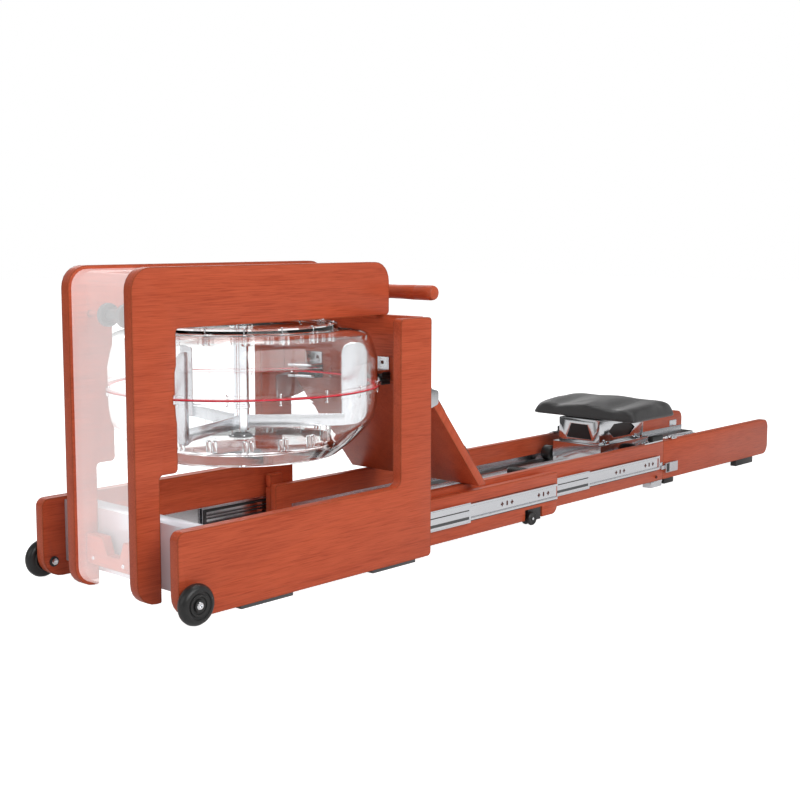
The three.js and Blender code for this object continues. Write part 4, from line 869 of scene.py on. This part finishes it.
# %% Drum, return pulley and handle
drum = [
    (14.5, 498.1), (34, 498.1), (36, 499.0), (36, 500.2), (34.5, 501.1), (30, 501.1), (30, 526.9),
    (34.5, 526.9), (36, 527.8), (36, 529.0), (34, 529.9), (28, 529.9), (26.5, 528.3), (19, 528.3),
    (18, 529.9), (14.5, 529.9), (14.5, 498.1)
]
turned(
    "strap_drum_wheel", drum, (TANK_X, 0, 0), "z", 72, black_plastic, "drum_body",
    ("strap_drum",)
)

PULLEY_X, PULLEY_Z = -226.0, 491.0
pulley = [
    (5.3, -32), (17.5, -32), (19.5, -31), (20.5, -29), (20.5, -23), (19.5, -21), (17.5, -20),
    (11, -20), (11, 20), (17.5, 20), (19.5, 21), (20.5, 23), (20.5, 29), (19.5, 31), (17.5, 32),
    (5.3, 32), (5.3, -32)
]
pulley_axle = [(0, -89.4), (4.9, -89.4), (4.9, 89.4), (0, 89.4)]
turned(
    "return_pulley_discs", pulley, (PULLEY_X, 0, PULLEY_Z), "y", 64, grey_plastic,
    "return_pulley_body", ("return_pulley",)
)
turned(
    "return_pulley_axle", pulley_axle, (PULLEY_X, 0, PULLEY_Z), "y", 32, chrome,
    "return_pulley_body", ("return_pulley",)
)

HANDLE_X, HANDLE_Z = 398.0, 514.0
half_grip = [
    (0, -175), (9, -174.4), (13, -172.2), (14.6, -168.5), (15, -163), (15, -130), (14.6, -128.5),
    (14.6, -127.5), (15, -126), (14.2, -90), (14.0, -60), (14.9, -24), (15, -20)
]
grip = half_grip + [(radius, -along) for radius, along in half_grip[::-1]]
turned(
    "handle_bar", grip, (HANDLE_X, 0, HANDLE_Z), "y", 48, wood_across, "handle_body",
    ("handle",)
)
clasp = [(15.1, -12), (16.2, -11), (16.2, 11), (15.1, 12), (15.1, -12)]
turned(
    "handle_clasp", clasp, (HANDLE_X, 0, HANDLE_Z), "y", 40, black_plastic, "handle_body",
)
print("drum, return pulley and handle are turned")

# %% [markdown]
# The pull strap is a flat woven band. It goes once round the drum and straight out between
# two guides to the handle, as a band of many short lengths, and it rides on no body.

# %% Pull strap
STRAP_LOW, STRAP_HIGH, STRAP_HALF = 504.0, 524.0, 1.0
webbing, webbing_tree, webbing_shader, webbing_place = new_finish("strap_webbing", 0.75, 0.1)
rib = webbing_tree.nodes.new("ShaderNodeTexWave")
rib.bands_direction = "Z"
rib.inputs["Scale"].default_value = 180
webbing_tree.links.new(webbing_place, rib.inputs["Vector"])
yarn = noise(webbing_tree, webbing_place, 900, 2.0)
webbing_tree.links.new(
    mix(webbing_tree, "MIX", yarn, (0.010, 0.010, 0.011, 1), (0.035, 0.035, 0.036, 1)),
    webbing_shader.inputs["Base Color"]
)
bump(webbing_tree, webbing_shader, rib.outputs["Fac"], 0.35, 0.0004)


def band(path, low, high, half):
    """A flat upright band along a level path: each point moved to both sides, low and high."""
    path = np.asarray(path, float)
    ahead = np.gradient(path, axis=0)
    ahead /= np.linalg.norm(ahead, axis=1, keepdims=True)
    side = np.stack([-ahead[:, 1], ahead[:, 0]], axis=-1) * half
    count = len(path)
    rings = np.zeros((count, 4, 3))
    for k, (sign, height) in enumerate(((-1, low), (1, low), (1, high), (-1, high))):
        rings[:, k, :2] = path + sign * side
        rings[:, k, 2] = height
    ends = [[3, 2, 1, 0], [4 * count - 4, 4 * count - 3, 4 * count - 2, 4 * count - 1]]
    return rings.reshape(-1, 3), grid_faces(count, 4, loop_columns=True) + ends


WIND_RADIUS, GUIDE_X, GRIP_SURFACE = 31.3, 335.3, 15.6
leave = -math.acos(WIND_RADIUS / (GUIDE_X - TANK_X))
wind = np.linspace(leave - 2 * math.pi + 0.15, leave, 90)
wrap = np.stack([TANK_X + WIND_RADIUS * np.cos(wind), WIND_RADIUS * np.sin(wind)], axis=-1)
reach_out = np.linspace(0, 1, 40)[1:, None]
guide = np.array([GUIDE_X, 0.0])
run = wrap[-1] * (1 - reach_out) + guide * reach_out
to_handle = np.array([HANDLE_X - GRIP_SURFACE - GUIDE_X, 0])
last = guide + np.linspace(0, 1, 25)[1:, None] * to_handle
strap = make(
    "pull_strap", [band(np.concatenate([wrap, run, last]), STRAP_LOW, STRAP_HIGH, STRAP_HALF)],
    webbing, None, ("strap",), edge=0.3
)
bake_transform(strap)
print("strap:", len(strap.data.vertices), "corners, wound once round the drum")

# %% [markdown]
# Wheels, castors and rollers are turned profiles too. The transport wheel has a round tyre, a
# sunk hub with a raised rim, and a bright axle cap with a dark socket. On the inside of each
# base panel a black washer and a bright screw hold the axle.

# %% Wheels and castors
WHEEL_X, WHEEL_Z = -245.0, 35.2
tyre = [
    (5.3, 0), (20, 0), (22, 1.5), (28, 1.8), (31.4, 3.6), (34.0, 7.5), (34.9, 12), (34.0, 16.5),
    (31.6, 20.6), (28.4, 23.2), (25.4, 24), (23.6, 23.6), (22.6, 21.6), (19.4, 20.8), (18.4, 22.4),
    (14.6, 22.8), (13.4, 21), (10.2, 20.6), (10.2, 23.6), (5.3, 23.6), (5.3, 0)
]
cap = [(0, 20), (6.6, 20), (6.6, 23.8), (5.6, 24.9), (2.8, 24.9), (2.4, 22.5), (0, 22.5)]
washer = [(5.3, 0), (9.6, 0), (9.6, 1.2), (8.8, 1.8), (5.3, 1.8), (5.3, 0)]
hex_turn = np.radians(np.arange(0, 360, 60) + 12)
axle = [(0, -25), (4.9, -25), (4.9, 21), (0, 21)]
for side, sign in SIDES.items():
    centre = (WHEEL_X, sign * 211.0, WHEEL_Z)
    flip = np.array([1, sign])
    body, stands_for = f"wheel_{side}_body", (f"wheel_{side}",)
    turned(
        f"wheel_tyre_{side}", np.array(tyre) * flip, centre, "y", 72, rubber, body,
        stands_for
    )
    turned(
        f"wheel_cap_{side}", np.array(cap) * flip, centre, "y", 40, chrome, body,
        stands_for
    )
    turned(
        f"wheel_axle_{side}", np.array(axle) * flip, centre, "y", 32, brushed, body,
        stands_for
    )
    inner_face = (WHEEL_X, sign * 185.3, WHEEL_Z)
    turned(
        f"axle_washer_{side}", np.array(washer) * [1, -sign], inner_face, "y", 32,
        black_plastic, body, stands_for
    )
    nut = np.stack([WHEEL_X + 6.6 * np.cos(hex_turn), WHEEL_Z + 6.6 * np.sin(hex_turn)], axis=-1)
    low, high = sorted((sign * 183.6, sign * 180.6))
    make(
        f"axle_nut_{side}", [prism(nut, "y", low, high)], chrome, body, stands_for,
        edge=0.4
    )

CASTOR_X, CASTOR_Y, CASTOR_Z = 722.0, 168.0, 15.0
disc = [
    (3, 3.5), (5, 3.5), (6, 4.4), (11, 4.4), (13.2, 4.0), (14.6, 5.4), (15, 7.5), (14.6, 9.6),
    (13.2, 11), (11, 11.2), (9, 10.2), (5, 10.2), (4.2, 11.4), (3, 11.4), (3, 3.5)
]
pin = [(0, -11.6), (2.9, -11.6), (2.9, 11.6), (0, 11.6)]
for side, sign in SIDES.items():
    centre = (CASTOR_X, sign * CASTOR_Y, CASTOR_Z)
    body, stands_for = f"castor_{side}_body", (f"castor_{side}",)
    discs = [revolve(disc, centre, "y", 40), revolve(np.array(disc) * [1, -1], centre, "y", 40)]
    make(f"castor_discs_{side}", discs, rubber, body, stands_for)
    turned(f"castor_pin_{side}", pin, centre, "y", 24, chrome, body, stands_for)
print("wheels and castors are on")

# %% [markdown]
# The seat rolls on four soft tyres with bright hubs. Their axles are held by the truck, and a
# bolt head shows in the middle of each.

# %% Seat rollers
ROLLER_Z = 75.3
roller = [
    (4, 80.4), (15.5, 80.4), (17.8, 81.4), (19, 84), (19, 106), (17.8, 108.6), (15.5, 109.6),
    (12.5, 109.6), (11.6, 107.6), (4, 107.6), (4, 80.4)
]
hub = [(4, 107.2), (11.2, 107.2), (10.4, 108.8), (6, 109.4), (4, 109.4), (4, 107.2)]
for place, x in (("front", 1160.1), ("rear", 1324.9)):
    body = f"{place}_rollers"
    tyres = [
        revolve(np.array(roller) * [1, sign], (x, 0, ROLLER_Z), "y", 48)
        for sign in SIDES.values()
    ]
    hubs = [
        revolve(np.array(hub) * [1, sign], (x, 0, ROLLER_Z), "y", 32)
        for sign in SIDES.values()
    ]
    rod = [(0, -110), (4, -110), (4, 110), (0, 110)]
    stands_for = (f"seat_rollers_{place}",)
    make(f"roller_tyres_{place}", tyres, rubber, body, stands_for)
    make(
        f"roller_hubs_{place}", hubs + [revolve(rod, (x, 0, ROLLER_Z), "y", 24)], chrome, body,
        stands_for
    )
print("rollers are on")

# %% [markdown]
# The seat pad is moulded foam under a soft skin: higher at the back, with a shallow dish for
# each thigh and sides that lean in a little. It starts as a closed grid: rings of a rounded
# rectangle shrink over the top and the bottom, squarest at the lower rim, and the top ring's
# height follows the crown. Then it is remeshed and blown up gently as cloth under pressure so
# that the sides swell as foam does. The swelling is held to a few millimetres and averaged with
# its neighbours a few times, because a moulded skin has no creases.

# %% Seat pad
PAD_X, PAD_HALF_X, PAD_HALF_Y = 1259.1, 97.0, 152.0
PAD_LOW = 173.0
PAD_RIM = 24.0
PAD_SWELL_CAP = 5.0


def pad_height(x, y):
    """Height of the pad's top: rim + rise to the back + low crown - two shallow dishes."""
    back = 0.5 + 0.5 * (x - PAD_X) / PAD_HALF_X
    rise = 8.2 * np.sin(0.62 * math.pi * back)
    crown = 5.0 * (1 - np.abs(y / PAD_HALF_Y) ** 2.5)
    dishes = 8.5 * np.exp(-(((np.abs(y) - 76) / 34) ** 2) - ((back - 0.3) / 0.5) ** 2)
    return PAD_LOW + PAD_RIM + rise + crown - dishes


turn = np.linspace(0, 2 * math.pi, 200, endpoint=False)
under = [(share, 0.0, 0.0, 36) for share in (0.0, 0.35, 0.7, 0.92)]
skirt = [(1.0, 0.8, 0.0, 36), (1.0, 0.0, 0.06, 36), (1.0, 0.6, 0.3, 26), (1.0, 1.8, 0.55, 20),
         (1.0, 3.4, 0.76, 16), (1.0, 5.8, 0.9, 13), (1.0, 9.5, 0.98, 11)]
over = [(share, 9.5, 1.0, 11) for share in (0.94, 0.87, 0.78, 0.68, 0.56, 0.43, 0.3, 0.15, 0.0)]
share, lean, lift, squareness = np.array(under + skirt + over).T[:, :, None]
outline_x = np.sign(np.cos(turn)) * np.abs(np.cos(turn)) ** (2 / squareness)
outline_y = np.sign(np.sin(turn)) * np.abs(np.sin(turn)) ** (2 / squareness)
ring_x = PAD_X + share * (PAD_HALF_X - lean) * outline_x
ring_y = share * (PAD_HALF_Y - lean) * outline_y
ring_z = PAD_LOW + lift * (pad_height(ring_x, ring_y) - PAD_LOW)
pad_grid = np.stack([ring_x, ring_y, ring_z], axis=-1).reshape(-1, 3)
leather, leather_tree, leather_shader, leather_place = new_finish(
    "soft_black_skin", 0.42, 0.14, Sheen_Weight=0.25, Sheen_Roughness=0.5, Coat_Weight=0.08)
cells = add_node(leather_tree, "ShaderNodeTexVoronoi", Scale=750.0)
cells.feature = "DISTANCE_TO_EDGE"
leather_tree.links.new(leather_place, cells.inputs["Vector"])
creases = ramp(leather_tree, cells.outputs["Distance"], [(0.0, 0.0), (0.25, 1.0)])
skin = mix(
    leather_tree, "MIX", noise(leather_tree, leather_place, 14, 3.0), (0.022, 0.021, 0.022, 1),
    (0.036, 0.035, 0.036, 1)
)
leather_tree.links.new(
    mix(leather_tree, "MULTIPLY", 0.35, skin, creases), leather_shader.inputs["Base Color"]
)
bump(leather_tree, leather_shader, creases, 0.12, 0.0003)
pad = make(
    "seat_pad_skin", [(pad_grid, grid_faces(len(share), len(turn), loop_columns=True))], leather,
    None, ("seat_pad",)
)
pad.modifiers.clear()


def apply_modifiers(piece):
    """Replaces the piece's mesh with its evaluated one, and drops the modifiers."""
    graph = bpy.context.evaluated_depsgraph_get()
    done = bpy.data.meshes.new_from_object(piece.evaluated_get(graph))
    piece.modifiers.clear()
    piece.data = done


def corner_array(mesh):
    """The mesh's corners as an array of (x, y, z)."""
    flat = np.zeros(3 * len(mesh.vertices))
    mesh.vertices.foreach_get("co", flat)
    return flat.reshape(-1, 3)


remesh = pad.modifiers.new("even_mesh", "REMESH")
remesh.mode = "VOXEL"
remesh.voxel_size = 4.0 * MM
apply_modifiers(pad)
start = corner_array(pad.data)
cloth = pad.modifiers.new("swell", "CLOTH")
cloth.settings.use_pressure = True
cloth.settings.uniform_pressure_force = 4
cloth.settings.effector_weights.gravity = 0
for frame_number in range(1, 21):
    scene.frame_set(frame_number)
apply_modifiers(pad)
scene.frame_set(1)
moved = corner_array(pad.data) - start
length = np.linalg.norm(moved, axis=1, keepdims=True)
above = np.clip((start[:, 2:] / MM - PAD_LOW - 4) / 14, 0, 1)
cap = (0.6 + (PAD_SWELL_CAP - 0.6) * above) * MM
push = moved * np.minimum(1, cap / np.maximum(length, 1e-9))
ends = np.zeros(2 * len(pad.data.edges), int)
pad.data.edges.foreach_get("vertices", ends)
first, second = ends.reshape(-1, 2).T
neighbours = np.bincount(ends, minlength=len(push))[:, None]
for _ in range(12):
    around = np.zeros_like(push)
    np.add.at(around, first, push[second])
    np.add.at(around, second, push[first])
    push = 0.5 * push + 0.5 * around / neighbours
held = start + push
held[:, 2] = np.maximum(held[:, 2], (PAD_LOW - 0.4) * MM)
pad.data.vertices.foreach_set("co", held.ravel())
pad.data.update()
relax = pad.modifiers.new("relax", "SMOOTH")
relax.factor = 0.5
relax.iterations = 1
apply_modifiers(pad)
print(
    "pad swelled by up to", round(float(length.max()) / MM, 1), "mm, held to", PAD_SWELL_CAP,
    "mm"
)
rounding = pad.modifiers.new("rounding", "SUBSURF")
rounding.levels = 1
rounding.render_levels = 1
pad.modifiers.new("smooth", "NODES").node_group = shading
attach(pad, "seat")
print("pad:", len(pad.data.polygons), "faces before rounding")

# %% [markdown]
# Each slide's inner member shows sets of fixing holes: a cross, a slot and a cross. A painted
# shadow line, a thin black sheet, runs beside it where it lies on its board. The middle member
# carries the ball cages, two black strips with a cap at their front end, and its back is grooved
# where the balls run, the grooves drawn as dark strips of painted shade.

# %% Slide details
HOLE_Z = 62.0
HOLE_SPACING = 17.0
SLIDES = {
    "one": ("stage_one", "first_middle_slides", 172.5, (636.0, 766.0), (404.0, 814.0), 97.0, 410.0),
    "two": (
        "stage_two", "second_middle_slides", 144.1, (1115.0, 1245.0), (738.0, 1284.0), 431.0, 546.0
    )
}


def cross_mark(x, z, reach=4.6, arm=1.6):
    """A plus-shaped outline about (x, z)."""
    steps = [(-arm, -reach), (arm, -reach), (arm, -arm), (reach, -arm), (reach, arm), (arm, arm)]
    return [(x + a, z + b) for a, b in steps + [(-a, -b) for a, b in steps]]


def plate(x, y, z, sign=1, radius=0.6, axis="y"):
    """A slab between pairs of X, Y and Z, with Y outwards from the middle on a sign's side."""
    y_low, y_high = sorted((sign * y[0], sign * y[1]))
    return box((x[0], y_low, z[0]), (x[1], y_high, z[1]), radius, axis)


for stage, (inner, middle, board_face, sets, ends, front, length) in SLIDES.items():
    for side, sign in SIDES.items():
        face = sorted((sign * (board_face + 1.4), sign * (board_face + 1.8)))
        crosses = [
            prism(cross_mark(x + step, HOLE_Z), "y", *face)
            for x in sets
            for step in (-HOLE_SPACING, HOLE_SPACING)
        ]
        slots = [
            plate(
                (x - 2.4, x + 2.4), (board_face + 1.4, board_face + 1.8), (HOLE_Z - 5, HOLE_Z + 5),
                sign, 2.0
            )
            for x in sets
        ]
        make(f"slide_{stage}_holes_{side}", crosses + slots, hole_dark, inner)
        # Painted shadow: thin black sheets on the board, below and above the inner member, where it
        # lies on it.
        shade = [
            plate(ends, (board_face + 0.02, board_face + 0.25), z, sign, 0.2)
            for z in ((42.0, 44.9), (79.1, 80.2))
        ]
        make(f"slide_{stage}_shade_{side}", shade, black_plastic, inner)
        back = board_face + 7.8
        # Painted shade: a black strip and a grey strip laid on the middle member where its ball
        # grooves run.
        grooves = [
            plate((front + 4, front + length - 6), (back - 0.1, back + 0.25), z, sign, 0.8)
            for z in ((66.4, 68.6), (48.6, 54.6))
        ]
        make(f"slide_{stage}_grooves_{side}", grooves[:1], black_plastic, middle)
        make(f"slide_{stage}_race_shade_{side}", grooves[1:], grey_plastic, middle)
        deep = (board_face + 2.0, board_face + 6.3)
        cages = [
            plate((front + 8, front + 190), deep, z, sign, 1.2)
            for z in ((45.6, 51.0), (58.0, 59.6), (64.4, 66.0), (73.0, 78.4))
        ]
        cap = plate((front + 0.5, front + 7), deep, (44.8, 79.2), sign, 2.5)
        make(
            f"slide_{stage}_cages_{side}", cages + [cap], black_plastic, middle,
            edge=0.3
        )
print("slides: holes, shade lines, grooves and cages on", 2 * len(SLIDES), "slides")

# %% [markdown]
# The seat runs on black strips glued to the steel tracks. Ribbed rubber sleeves on two cross
# pins stop it in front. The first boards carry a small wooden block at their front end.

# %% Rail details
track_strips = [
    plate((296, 1305), (92, 121), (56.02, 56.26), sign, 0.1, "z")
    for sign in SIDES.values()
]
make("track_strips", track_strips, rubber, "stage_two")
tail_strips = [
    plate((1321, 1862), (92, 121), (56.02, 56.26), sign, 0.1, "z")
    for sign in SIDES.values()
]
make("tail_track_strips", tail_strips, rubber, "tail")
along = np.linspace(75, 125, 41)
ripple = 10.9 + 0.5 * np.cos(along * 2 * math.pi / 5)
sleeve = [(10.1, 75)] + list(zip(ripple, along)) + [(10.1, 125), (10.1, 75)]
sleeves = [revolve(np.array(sleeve) * [1, sign], (775, 0, 100), "y", 40) for sign in SIDES.values()]
make("stop_sleeves", sleeves, rubber, "stage_two")
blocks = [
    plate((262.5, 296), (157.4, 172.2), (104.5, 131), sign, 3.0, "x")
    for sign in SIDES.values()
]
make("board_blocks", blocks, wood, "stage_one", edge=1.2)
front_screw = np.array(bolt_head(3.8, 2.0)) * [1, -1]
board_screws = [revolve(front_screw, (-246.1, y, 64.0), "x", 24) for y in (58.0, -30.0)]
make("front_board_screws", board_screws, zinc, "frame")
print("rail strips, sleeves, blocks and screws are on")

# %% [markdown]
# Where the tail folds, a latch bridges the seam on each side: a keeper on the second board, and
# a sprung block on the tail board. Small feet stand under the seam and a soft cover lies on
# the hinge. The seat's steel box is bolted to the truck, and black sheets of painted shade lie
# behind its windows.

# %% Latches, hinge covers and seat bolts
knob = [(0, 144.1), (3.6, 144.1), (3.6, 146.2), (2.6, 147.0), (0, 147.0)]
pad_bolt = [
    (0, 0), (6.4, 0), (6.4, 1.4), (4.6, 1.5), (4.6, 6.6), (3.8, 7.4), (1.8, 7.4), (1.8, 4.6),
    (0, 4.6)
]
hinge_screw = bolt_head(3.0, 1.6)
for side, sign in SIDES.items():
    keeper = [
        plate((1288.5, 1293.5), (144.12, 146.4), (44, 79), sign, 1.0),
        plate((1297, 1310.5), (144.12, 145.0), (44, 60), sign, 1.5)
    ]
    make(f"latch_keeper_{side}", keeper, zinc, "stage_two", edge=0.3)
    latch = [
        plate((1316, 1372), (144.4, 152.0), (33, 58), sign, 2.5),
        plate((1300, 1318), (145.4, 148.4), (42, 52), sign, 1.2)
    ]
    make(f"latch_block_{side}", latch, brushed, "tail", edge=0.8)
    make(
        f"latch_spring_{side}", [plate((1318, 1330), (152.0, 152.8), (35, 56), sign, 1.0)],
        black_plastic, "tail"
    )
    turned(
        f"latch_button_{side}", np.array(knob) * [1, sign], (1281, 0, 26), "y", 24, hole_dark,
        "stage_two"
    )
    cover = plate((1262, 1311), (129.0, 143.9), (116.2, 128.2), sign, 2.0, "z")
    make(f"hinge_cover_{side}", [cover], rubber, "stage_two", edge=0.8)
    screws = [revolve(hinge_screw, (x, sign * 136.3, 116.0), "z", 20) for x in (1236, 1252)]
    make(f"hinge_screws_{side}", screws, brushed, "stage_two")
    make(
        f"seam_foot_{side}", [plate((1320, 1366), (129, 143.8), (3, 15.9), sign, 3.0)], rubber,
        "tail", edge=1.0
    )
    make(
        f"seam_plate_{side}", [plate((1272, 1311), (129, 143.8), (11.5, 16.0), sign, 1.5)], zinc,
        "stage_two", edge=0.5
    )
    make(
        f"tail_plate_{side}", [plate((1800, 1838), (127.4, 128.5), (71, 88), sign, 2.0)], zinc,
        "tail", edge=0.3
    )
    bolts = [revolve(pad_bolt, (x, sign * 66.0, 112.1), "z", 24) for x in (1180, 1330)]
    make(f"seat_bolts_{side}", bolts, chrome, "seat")
# Painted shade: black sheets lining the seat box's walls, so that its windows look dark inside.
window_shade_sheets = [plate((1170, 1334), (55.8, 56.8), (119, 163), sign, 3.0) for sign in SIDES.values()]
window_shade_sheets += [box((x, -42, 119), (x + 1, 42, 163), 3.0, "x") for x in (1155.3, 1347.6)]
make("bracket_window_shade", window_shade_sheets, black_plastic, "seat")
print("latches, covers, feet and seat bolts are on")

# %% [markdown]
# The tank sits in two steel clamps on the rear cross board. Ribbed rubber grips hold its rim,
# and each plate is screwed on. Under the paddle a small bearing stands on the tank's floor.

# %% Tank clamps and paddle bearing
GRIPS = {"near": ((-117.9, -85.0), (-101.0,)), "far": ((66.1, 116.1), (78.0, 104.0))}
plate_screw = np.array(bolt_head(3.6, 1.4)) * [1, -1]
for side, ((low, high), screw_places) in GRIPS.items():
    ribs = [
        box((304.5, low - 1.5, z), (329.4, high + 1.5, z + 6.5), 2.0, "y")
        for z in (337.0, 345.5, 354.0)
    ]
    core = box((308, low - 0.6, 336.8), (329.2, high + 0.6, 362), 1.0, "y")
    make(f"clamp_grip_{side}", ribs + [core], rubber, "frame", edge=0.8)
    screws = [revolve(plate_screw, (325.6, y, 379.0), "x", 24) for y in screw_places]
    make(f"clamp_screws_{side}", screws, hole_dark, "frame")
bearing = [
    (14.3, 249.1), (25, 249.1), (25, 251.0), (19, 252.2), (17, 257.0), (14.3, 257.0), (14.3, 249.1)
]
turned("paddle_bearing", bearing, (TANK_X, 0, 0), "z", 48, grey_plastic, "frame")
studs = [
    copies(
        revolve(bolt_head(2.4, 2.5), (0, 0, 250.9), segments=12), ring_places(6, 22.0, 0, TANK_X)
    )
]
make("bearing_studs", studs, chrome, "frame")
print("clamp grips and paddle bearing are on")

# %% [markdown]
# Each foot rest has a strap over the foot, with a buckle, and low ribs on its sole. They are
# laid out flat, u down the board, v across it and w off its face, and then turned with the
# board: X = px + u cos a + w sin a and Z = pz - u sin a + w cos a.

# %% Foot straps
SLOPE = math.radians(51)
PIVOT_X, PIVOT_Z = 384.5, 310.0
BOARD_FACE = 9.5


def on_board(shell):
    """A shell laid out as (v, w, u) set on the sloping board's top face."""
    v, w, u = shell[0].T
    w = w + BOARD_FACE
    x = PIVOT_X + u * math.cos(SLOPE) + w * math.sin(SLOPE)
    z = PIVOT_Z - u * math.sin(SLOPE) + w * math.cos(SLOPE)
    return np.stack([x, v, z], axis=-1), shell[1]


arch = np.linspace(0, math.pi, 33)
for side, sign in SIDES.items():
    centre = sign * 88.0
    bow = np.stack([centre + 49.0 * np.cos(arch), 6.0 + 52.0 * np.sin(arch) ** 0.8], axis=-1)
    make(
        f"foot_strap_{side}", [on_board(band(bow, 62, 100, 1.2))], webbing, "footboard_body",
        edge=0.3
    )
    buckle = box((centre + 30, 44, 60), (centre + 38, 50, 102), 2.0, "z")
    make(
        f"foot_buckle_{side}", [on_board(buckle)], grey_plastic, "footboard_body",
        edge=1.0
    )
    soles = [
        box((centre - 40, 7.0, u), (centre + 40, 8.2, u + 4), 0.5, "z")
        for u in range(24, 178, 11)
    ]
    make(
        f"foot_ribs_{side}", [on_board(rib_bar) for rib_bar in soles], rubber, "footboard_body",
    )
print("foot straps are on")
